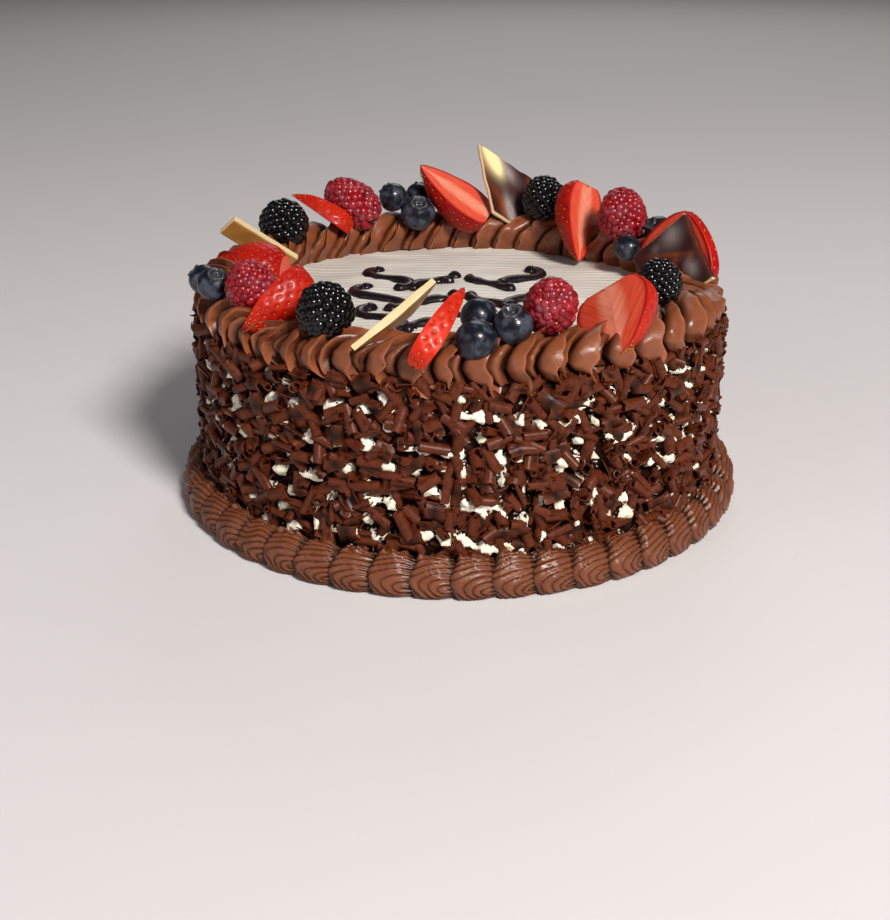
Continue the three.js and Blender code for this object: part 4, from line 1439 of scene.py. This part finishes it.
def slice_shape(topping, seed):
    """A flat slice from a strawberry's middle: a cut face at x = 0, one behind it, and skin round them."""
    draw = np.random.default_rng(seed)
    width, length_mm, thickness = topping["width"], topping["length"], topping["thickness"]
    rows, faces, edge = 80, 40, 12
    share = np.linspace(0.0, 1, rows)
    along, half = strawberry_section(share, width)
    face, skin = np.linspace(-0.97, 0.97, faces), np.ones(edge)
    across = np.concatenate([face, skin, -face, -skin])
    turn = np.linspace(0, PI, edge)
    flat = np.zeros(faces)
    bulge = np.concatenate([flat, np.sin(turn), flat, np.sin(turn)])
    behind = np.concatenate([flat, (1 - np.cos(turn)) / 2, flat + 1, (1 + np.cos(turn)) / 2])
    y = half[:, None] * across + np.sign(across) * 0.9 * bulge * smoothstep(0, 3, half)[:, None]
    x, z = thickness * behind, (along * length_mm)[:, None]
    points = stacked(x, y, z)
    is_cut = (bulge < 0.35) * np.ones_like(y)
    marks, relief = cut_face(along, half, y, z, x * 0.3, is_cut, seed + 2)
    points[..., 0] += relief
    front = np.arange(faces)
    back = faces + edge + front[::-1]
    hull_end = stacked(front[:-1], front[1:], back[1:], back[:-1])
    shape = Shape()
    shape.add(placed(points, topping), grid(rows, len(across), wrap_columns=True, flip=True),
              hull_end, cut=is_cut, ripe=0.8, local=points * MM, **marks)
    unit, triangles = ball(2)
    for side in (-1, 1):
        for step, spot in enumerate(draw.permutation(np.linspace(0.08, 0.95, 12))):
            at, reach = strawberry_section(np.array(spot), width)
            middle = (thickness * (0.3 + 0.4 * (step % 2)), side * (reach + 0.75), at * length_mm)
            shape.add(placed(middle + unit * (0.42, 0.3, 0.7), topping), triangles, seed=1)
    return shape


class CAKE_OT_strawberries(bpy.types.Operator):
    """Build the strawberry pieces, with seeds in their dimples and fibres on their cut faces"""

    bl_idname = "cake.strawberries"
    bl_label = "Strawberries"

    def execute(self, context):
        finish = strawberry_finish(context.scene.berry_cake.fruit)
        for kind, make, first_seed in ((STRAWBERRIES, strawberry_shape, 800), (SLICES, slice_shape, 890)):
            for index, (name, topping) in enumerate(kind.items()):
                shape = make(topping, first_seed + 10 * index)
                shape.dress(name, finish, "strawberry", sharp=55)
        return {"FINISHED"}


# ---- Battens and plaques ----


def batten_finish(chocolate):
    finish = Finish("batten", {"IOR": 1.46, "Subsurface Weight": 0.05, "Subsurface Scale": 0.002})
    local = finish.mark("local", "Vector")
    grain = finish.noise(2.2, 4, 0.6, finish.stretched(local, (1, 1, 0.08)))
    ivory = finish.mixed(finish.ramp(grain, 0.3, 0.75), chocolate.ivory, tinted(chocolate.ivory, 0.82))
    amber = tinted(chocolate.caramel, 0.62, 0.5, 0.35)
    caramel = finish.mixed(finish.ramp(grain, 0.3, 0.7, 0, 0.5), chocolate.caramel, amber)
    finish.colour(finish.mixed(finish.mark("pale"), caramel, ivory))
    finish.rough(finish.ramp(grain, 0.3, 0.7, 0.3, 0.45))
    finish.bump(grain, 0.15, 0.5)
    return finish


class CAKE_OT_battens(bpy.types.Operator):
    """Build the two-tone battens"""

    bl_idname = "cake.battens"
    bl_label = "Battens"

    def execute(self, context):
        finish = batten_finish(context.scene.berry_cake.chocolate)
        for seed, (name, topping) in enumerate(BATTENS.items()):
            self.batten(name, topping, finish, 950 + seed)
        return {"FINISHED"}

    def batten(self, name, topping, finish, seed):
        """A slab with softened edges, narrower towards its ends by its belly. Its side at y = 0 is pale."""
        thickness, width, length_mm = topping["thickness"], topping["width"], topping["length"]
        soft = 0.35
        quarter = np.radians(np.linspace(0, 90, 5))
        middle = np.array([-thickness / 2, -width / 2])
        half = np.array([thickness / 2 - soft, width / 2 - soft])
        corners = enumerate(((1, 1), (-1, 1), (-1, -1), (1, -1)))
        rounds = [middle + half * corner + soft * circle(quarter + turn * PI / 2) for turn, corner in corners]
        section = []
        for this, following in zip(rounds, rounds[1:] + rounds[:1]):
            flat = this[-1] + (following[0] - this[-1]) * np.linspace(0.1, 0.9, 7)[:, None]
            section += [this, flat]
        section = np.vstack(section)
        count = len(section)
        z = np.concatenate([[0, 0, 0.1], np.linspace(0.4, length_mm - 0.4, 50),
                            [length_mm - 0.1, length_mm, length_mm]])
        inset = np.concatenate([[0.02, 0.8, 0.97], np.ones(50), [0.97, 0.8, 0.02]])
        flat = middle + (section[None] - middle) * inset[:, None, None]
        points = np.concatenate([flat, np.broadcast_to(z[:, None, None], (len(z), count, 1))], axis=2)
        slim = 1 - np.sin(PI * (z / length_mm) ** 1.3) ** 1.2
        points[..., 1] *= 1 - topping["belly"] * slim[:, None]
        points[..., 0] *= 1 - 0.3 * topping["belly"] * slim[:, None]
        points = points + 0.1 * ripple(points, 8, seed)[..., None] * (1, 1, 0)
        side = smoothstep(-0.75, -0.2, section[:, 1])[None, :]
        ends = (z > length_mm - 0.3)[:, None]
        pale = np.maximum(side, ends * 1.0) * np.ones((len(z), count))
        shape = Shape()
        shape.add(placed(points, topping), grid(len(z), count, wrap_columns=True, flip=True),
                  pale=pale, local=points * MM)
        shape.dress(name, finish, "batten", sharp=50)


def plaque_finish(chocolate, name):
    """Dark chocolate with soft pale patches and rusty lines, where the plate's own marks put them."""
    finish = Finish(name, {"IOR": 1.47, "Coat Weight": 0.1, "Coat Roughness": 0.3})
    local = finish.mark("local", "Vector")
    cloudy = finish.ramp(finish.noise(5, 3, 0.5, local), 0.3, 0.7, 0.75, 1.1)
    body = finish.mixed(finish.times(finish.mark("rust"), cloudy), chocolate.dark, chocolate.rust)
    body = finish.mixed(finish.times(finish.mark("grey"), cloudy), body, chocolate.grey)
    body = finish.mixed(finish.mark("pale"), body, chocolate.pale)
    finish.colour(finish.mixed(finish.mark("glow"), body, chocolate.ivory))
    finish.rough(finish.ramp(finish.noise(9, 2), 0.35, 0.65, 0.24, 0.38))
    finish.bump(finish.noise(5, 3, 0.5, local), 0.2, 0.5)
    return finish


class CAKE_OT_plaques(bpy.types.Operator):
    """Build the thin marbled plaques"""

    bl_idname = "cake.plaques"
    bl_label = "Plaques"

    EDGE = 0.4
    # Soft patches of each plaque's marbling: the mark, the middle along the first side and along the second
    # one, the half-widths along both, all as shares of a side, how much the patch slants, and its strength.
    PATCHES = {
        "plaque_a": (
            ("pale", 0.2, 0.97, 0.15, 0.25, -0.1, 1.8),
            ("pale", 0.3, 0.82, 0.08, 0.12, 0.0, 0.9),
            ("grey", 0.46, 0.85, 0.15, 0.14, 0.0, 1.1),
            ("grey", 0.34, 0.2, 0.07, 0.2, -0.1, 1.2),
            ("grey", 0.45, 0.18, 0.1, 0.25, -0.1, 0.45),
            ("rust", 0.05, 0.82, 0.06, 0.26, 0.0, 1.1),
            ("rust", 0.23, 0.18, 0.08, 0.2, -0.1, 1.0),
            ("rust", 0.12, 0.36, 0.08, 0.1, 0.0, 0.5),
            ("rust", 0.88, 0.88, 0.06, 0.06, 0.0, 0.8),
        ),
        "plaque_b": (
            ("grey", 0.31, 0.86, 0.16, 0.14, 0.0, 0.85),
            ("grey", 0.22, 0.31, 0.1, 0.12, 0.1, 0.8),
            ("grey", 0.48, 0.16, 0.1, 0.1, 0.0, 0.5),
            ("grey", 0.62, 0.86, 0.08, 0.06, 0.0, 0.3),
            ("rust", 0.45, 0.655, 0.34, 0.035, 0.59, 0.9),
            ("rust", 0.26, 0.39, 0.14, 0.04, -0.62, 0.8),
            ("rust", 0.41, 0.54, 0.08, 0.05, 0.0, 0.9),
            ("rust", 0.03, 0.5, 0.03, 0.5, 0.0, 0.5),
        ),
    }
    # How far, in mm, the pale edge reaches in from each side: the near and far end along u, then along v.
    PALE_EDGES = {"plaque_a": (0.55, 0, 1.1, 0), "plaque_b": (0, 0, 1.0, 0.5)}

    def execute(self, context):
        chocolate = context.scene.berry_cake.chocolate
        for seed, (name, topping) in enumerate(PLAQUES.items()):
            finish = plaque_finish(chocolate, name + " chocolate")
            self.plaque(name, topping, finish, 970 + seed)
        return {"FINISHED"}

    def marbling(self, name, u, v):
        marks = {mark: np.zeros(u.shape) for mark in ("pale", "grey", "rust")}
        for mark, u_middle, v_middle, u_half, v_half, slant, power in self.PATCHES[name]:
            v_there = v_middle + slant * (u - u_middle)
            marks[mark] += power * bell(u, u_middle, u_half) * bell(v, v_there, v_half)
        return {mark: np.clip(value, 0, 1) for mark, value in marks.items()}

    def plaque(self, name, topping, finish, seed):
        """A thin plate on two of its sides' directions, with rounded and slightly uneven edges."""
        side, thickness = topping["side"], topping["thickness"]
        opening = math.radians(topping["opening"])
        across = np.array([0, math.sin(opening), math.cos(opening)])
        count = 54
        line = np.concatenate([[0, 0.005, 0.014, 0.026], np.linspace(0.04, 0.96, count - 8),
                               [0.974, 0.986, 0.995, 1]])
        u, v = (axis[..., None] for axis in np.meshgrid(line, line, indexing="ij"))
        border = np.minimum(np.minimum(u, 1 - u), np.minimum(v, 1 - v)) * side
        rounded = thickness / 2 * quarter_round(border / self.EDGE)
        flat = side * (u * across + v * np.array([0.0, 0.0, 1.0]))
        wave = 0.3 * ripple(flat, 26, seed)[..., None]
        uneven = np.stack([ripple(flat, 7, seed + k) for k in (1, 2)], -1) * 0.2 * smoothstep(3, 0, border)
        flat = flat + np.concatenate([np.zeros_like(u), uneven], axis=-1)
        face = flat + (wave + rounded - thickness / 2) * np.array([1.0, 0, 0])
        back = flat + (wave - rounded - thickness / 2) * np.array([1.0, 0, 0])
        away = (u * side, (1 - u) * side, v * side, (1 - v) * side)
        glow = sum(smoothstep(reach, 0.3 * reach, distance) if reach else 0 * distance
                   for reach, distance in zip(self.PALE_EDGES[name], away))
        glow = np.clip(glow, 0, 1)[..., 0]
        marks = self.marbling(name, u[..., 0], v[..., 0])
        points = np.concatenate([face.reshape(-1, 3), back.reshape(-1, 3)])
        laid = self.off_the_cake(placed(points, topping), topping, across)
        both = {mark: np.stack([value] * 2) for mark, value in (("glow", glow), *marks.items())}
        shape = Shape()
        shape.add(laid, *two_sided(count, count, topping["opening"] < 0), local=points * MM, **both)
        shape.dress(name, finish, "plaque", sharp=60)

    def off_the_cake(self, points, topping, across):
        """Slides what would reach into the cream up along the plate's own face."""
        sides = placed(np.array([[0, 0, 0], across, [0, 0, 1.0]]), topping)
        first, second = sides[1] - sides[0], sides[2] - sides[0]
        up = first * first[2] + (second - first * (first @ second)) * second[2]
        up /= np.linalg.norm(up)
        floor = CREAM_TOP + BORDER_GAP
        radius = np.hypot(points[:, 0], points[:, 1])
        below = (points[:, 2] < floor) & (radius < CREAM_RADIUS + BORDER_GAP)
        lift = np.where(below, (floor - points[:, 2]) / up[2], 0)
        return points + lift[:, None] * up


# ---- Camera, floor and lights ----


class CAKE_OT_stage(bpy.types.Operator):
    """Set up the camera, the floor and soft studio light"""

    bl_idname = "cake.stage"
    bl_label = "Stage"

    # The camera's focal length and the width of its film in mm, and the degrees it looks down and left.
    FOCAL_LENGTH, FILM_WIDTH = 52.2, 36
    LOOKS_DOWN, LOOKS_LEFT = 23.02, 0.62
    # Half the floor's width and the point that the lights face, in metres.
    FLOOR_REACH = 3.0
    LIT_POINT = (0, 0, 0.06)

    def execute(self, context):
        settings = context.scene.berry_cake.stage
        self.camera(context, settings)
        self.floor(context, settings)
        self.lights(context, settings)
        return {"FINISHED"}

    def camera(self, context, settings):
        data = bpy.data.cameras.new("camera")
        data.sensor_width = self.FILM_WIDTH
        data.lens = self.FOCAL_LENGTH
        made = bpy.data.objects.new("camera", data)
        made.location = (0, -settings.distance, settings.height)
        made.rotation_euler = Euler((math.radians(90 - self.LOOKS_DOWN), 0, math.radians(self.LOOKS_LEFT)))
        context.scene.collection.objects.link(made)
        context.scene.camera = made

    def floor(self, context, settings):
        reach = self.FLOOR_REACH
        corners = [(x * reach, y * reach, 0) for x, y in ((-1, -1), (1, -1), (1, 1), (-1, 1))]
        mesh = bpy.data.meshes.new("floor")
        mesh.from_pydata(corners, [], [(0, 1, 2, 3)])
        finish = Finish("floor", {"Specular IOR Level": 0.2})
        shade = tinted(settings.floor, 0.97)
        finish.colour(finish.mixed(finish.blotches(60, 0, 0.3), settings.floor, shade))
        finish.rough(0.8)
        mesh.materials.append(finish.material)
        made = bpy.data.objects.new("floor", mesh)
        context.scene.collection.objects.link(made)

    def lights(self, context, settings):
        world = bpy.data.worlds.new("studio")
        world.use_nodes = True
        sky = world.node_tree.nodes["Background"].inputs
        sky["Color"].default_value = (*srgb(225, 222, 228), 1)
        sky["Strength"].default_value = settings.sky
        context.scene.world = world
        context.scene.view_settings.view_transform = "Standard"
        for name, at, size, power, tint in (
            ("key", (0.78, -1.44, 1.35), 0.5, settings.key, (1.0, 0.97, 0.93)),
            ("fill", (-1.6, -1.2, 0.9), 1.4, settings.fill, (0.92, 0.95, 1.0)),
            ("back", (0.3, 2.4, 1.7), 1.4, settings.fill * 1.6, (1.0, 1.0, 1.0)),
        ):
            data = bpy.data.lights.new(name, "AREA")
            data.shape = "DISK"
            data.size = size
            data.energy = power
            data.color = tint
            made = bpy.data.objects.new(name, data)
            made.location = at
            facing = Vector(self.LIT_POINT) - Vector(at)
            made.rotation_euler = facing.to_track_quat("-Z", "Y").to_euler()
            context.scene.collection.objects.link(made)


# ---- Panel and registration ----

PIECES = (
    CAKE_OT_cream, CAKE_OT_curls, CAKE_OT_scrollwork, CAKE_OT_rope, CAKE_OT_shells,
    CAKE_OT_raspberries, CAKE_OT_brambles, CAKE_OT_blueberries, CAKE_OT_strawberries,
    CAKE_OT_battens, CAKE_OT_plaques, CAKE_OT_stage,
)


class CAKE_PT_pieces(bpy.types.Panel):
    """The pieces of the cake, in the order in which they are built"""

    bl_idname = "CAKE_PT_pieces"
    bl_label = "Berry cake"
    bl_space_type = "VIEW_3D"
    bl_region_type = "UI"
    bl_category = "Berry cake"

    def draw(self, context):
        for piece in PIECES:
            self.layout.operator(piece.bl_idname)


SETTINGS = (
    CreamSettings, CurlSettings, RopeSettings, ShellSettings, PipingSettings, FruitSettings,
    ChocolateSettings, StageSettings, CakeSettings,
)
CLASSES = (*SETTINGS, *PIECES, CAKE_PT_pieces)


def register():
    for cls in CLASSES:
        bpy.utils.register_class(cls)
    bpy.types.Scene.berry_cake = bpy.props.PointerProperty(type=CakeSettings)


def unregister():
    del bpy.types.Scene.berry_cake
    for cls in reversed(CLASSES):
        bpy.utils.unregister_class(cls)


def main():
    register()
    bpy.ops.cake.cream()
    bpy.ops.cake.curls()
    bpy.ops.cake.scrollwork()
    bpy.ops.cake.rope()
    bpy.ops.cake.shells()
    bpy.ops.cake.raspberries()
    bpy.ops.cake.brambles()
    bpy.ops.cake.blueberries()
    bpy.ops.cake.strawberries()
    bpy.ops.cake.battens()
    bpy.ops.cake.plaques()
    bpy.ops.cake.stage()


if __name__ == "__main__":
    main()
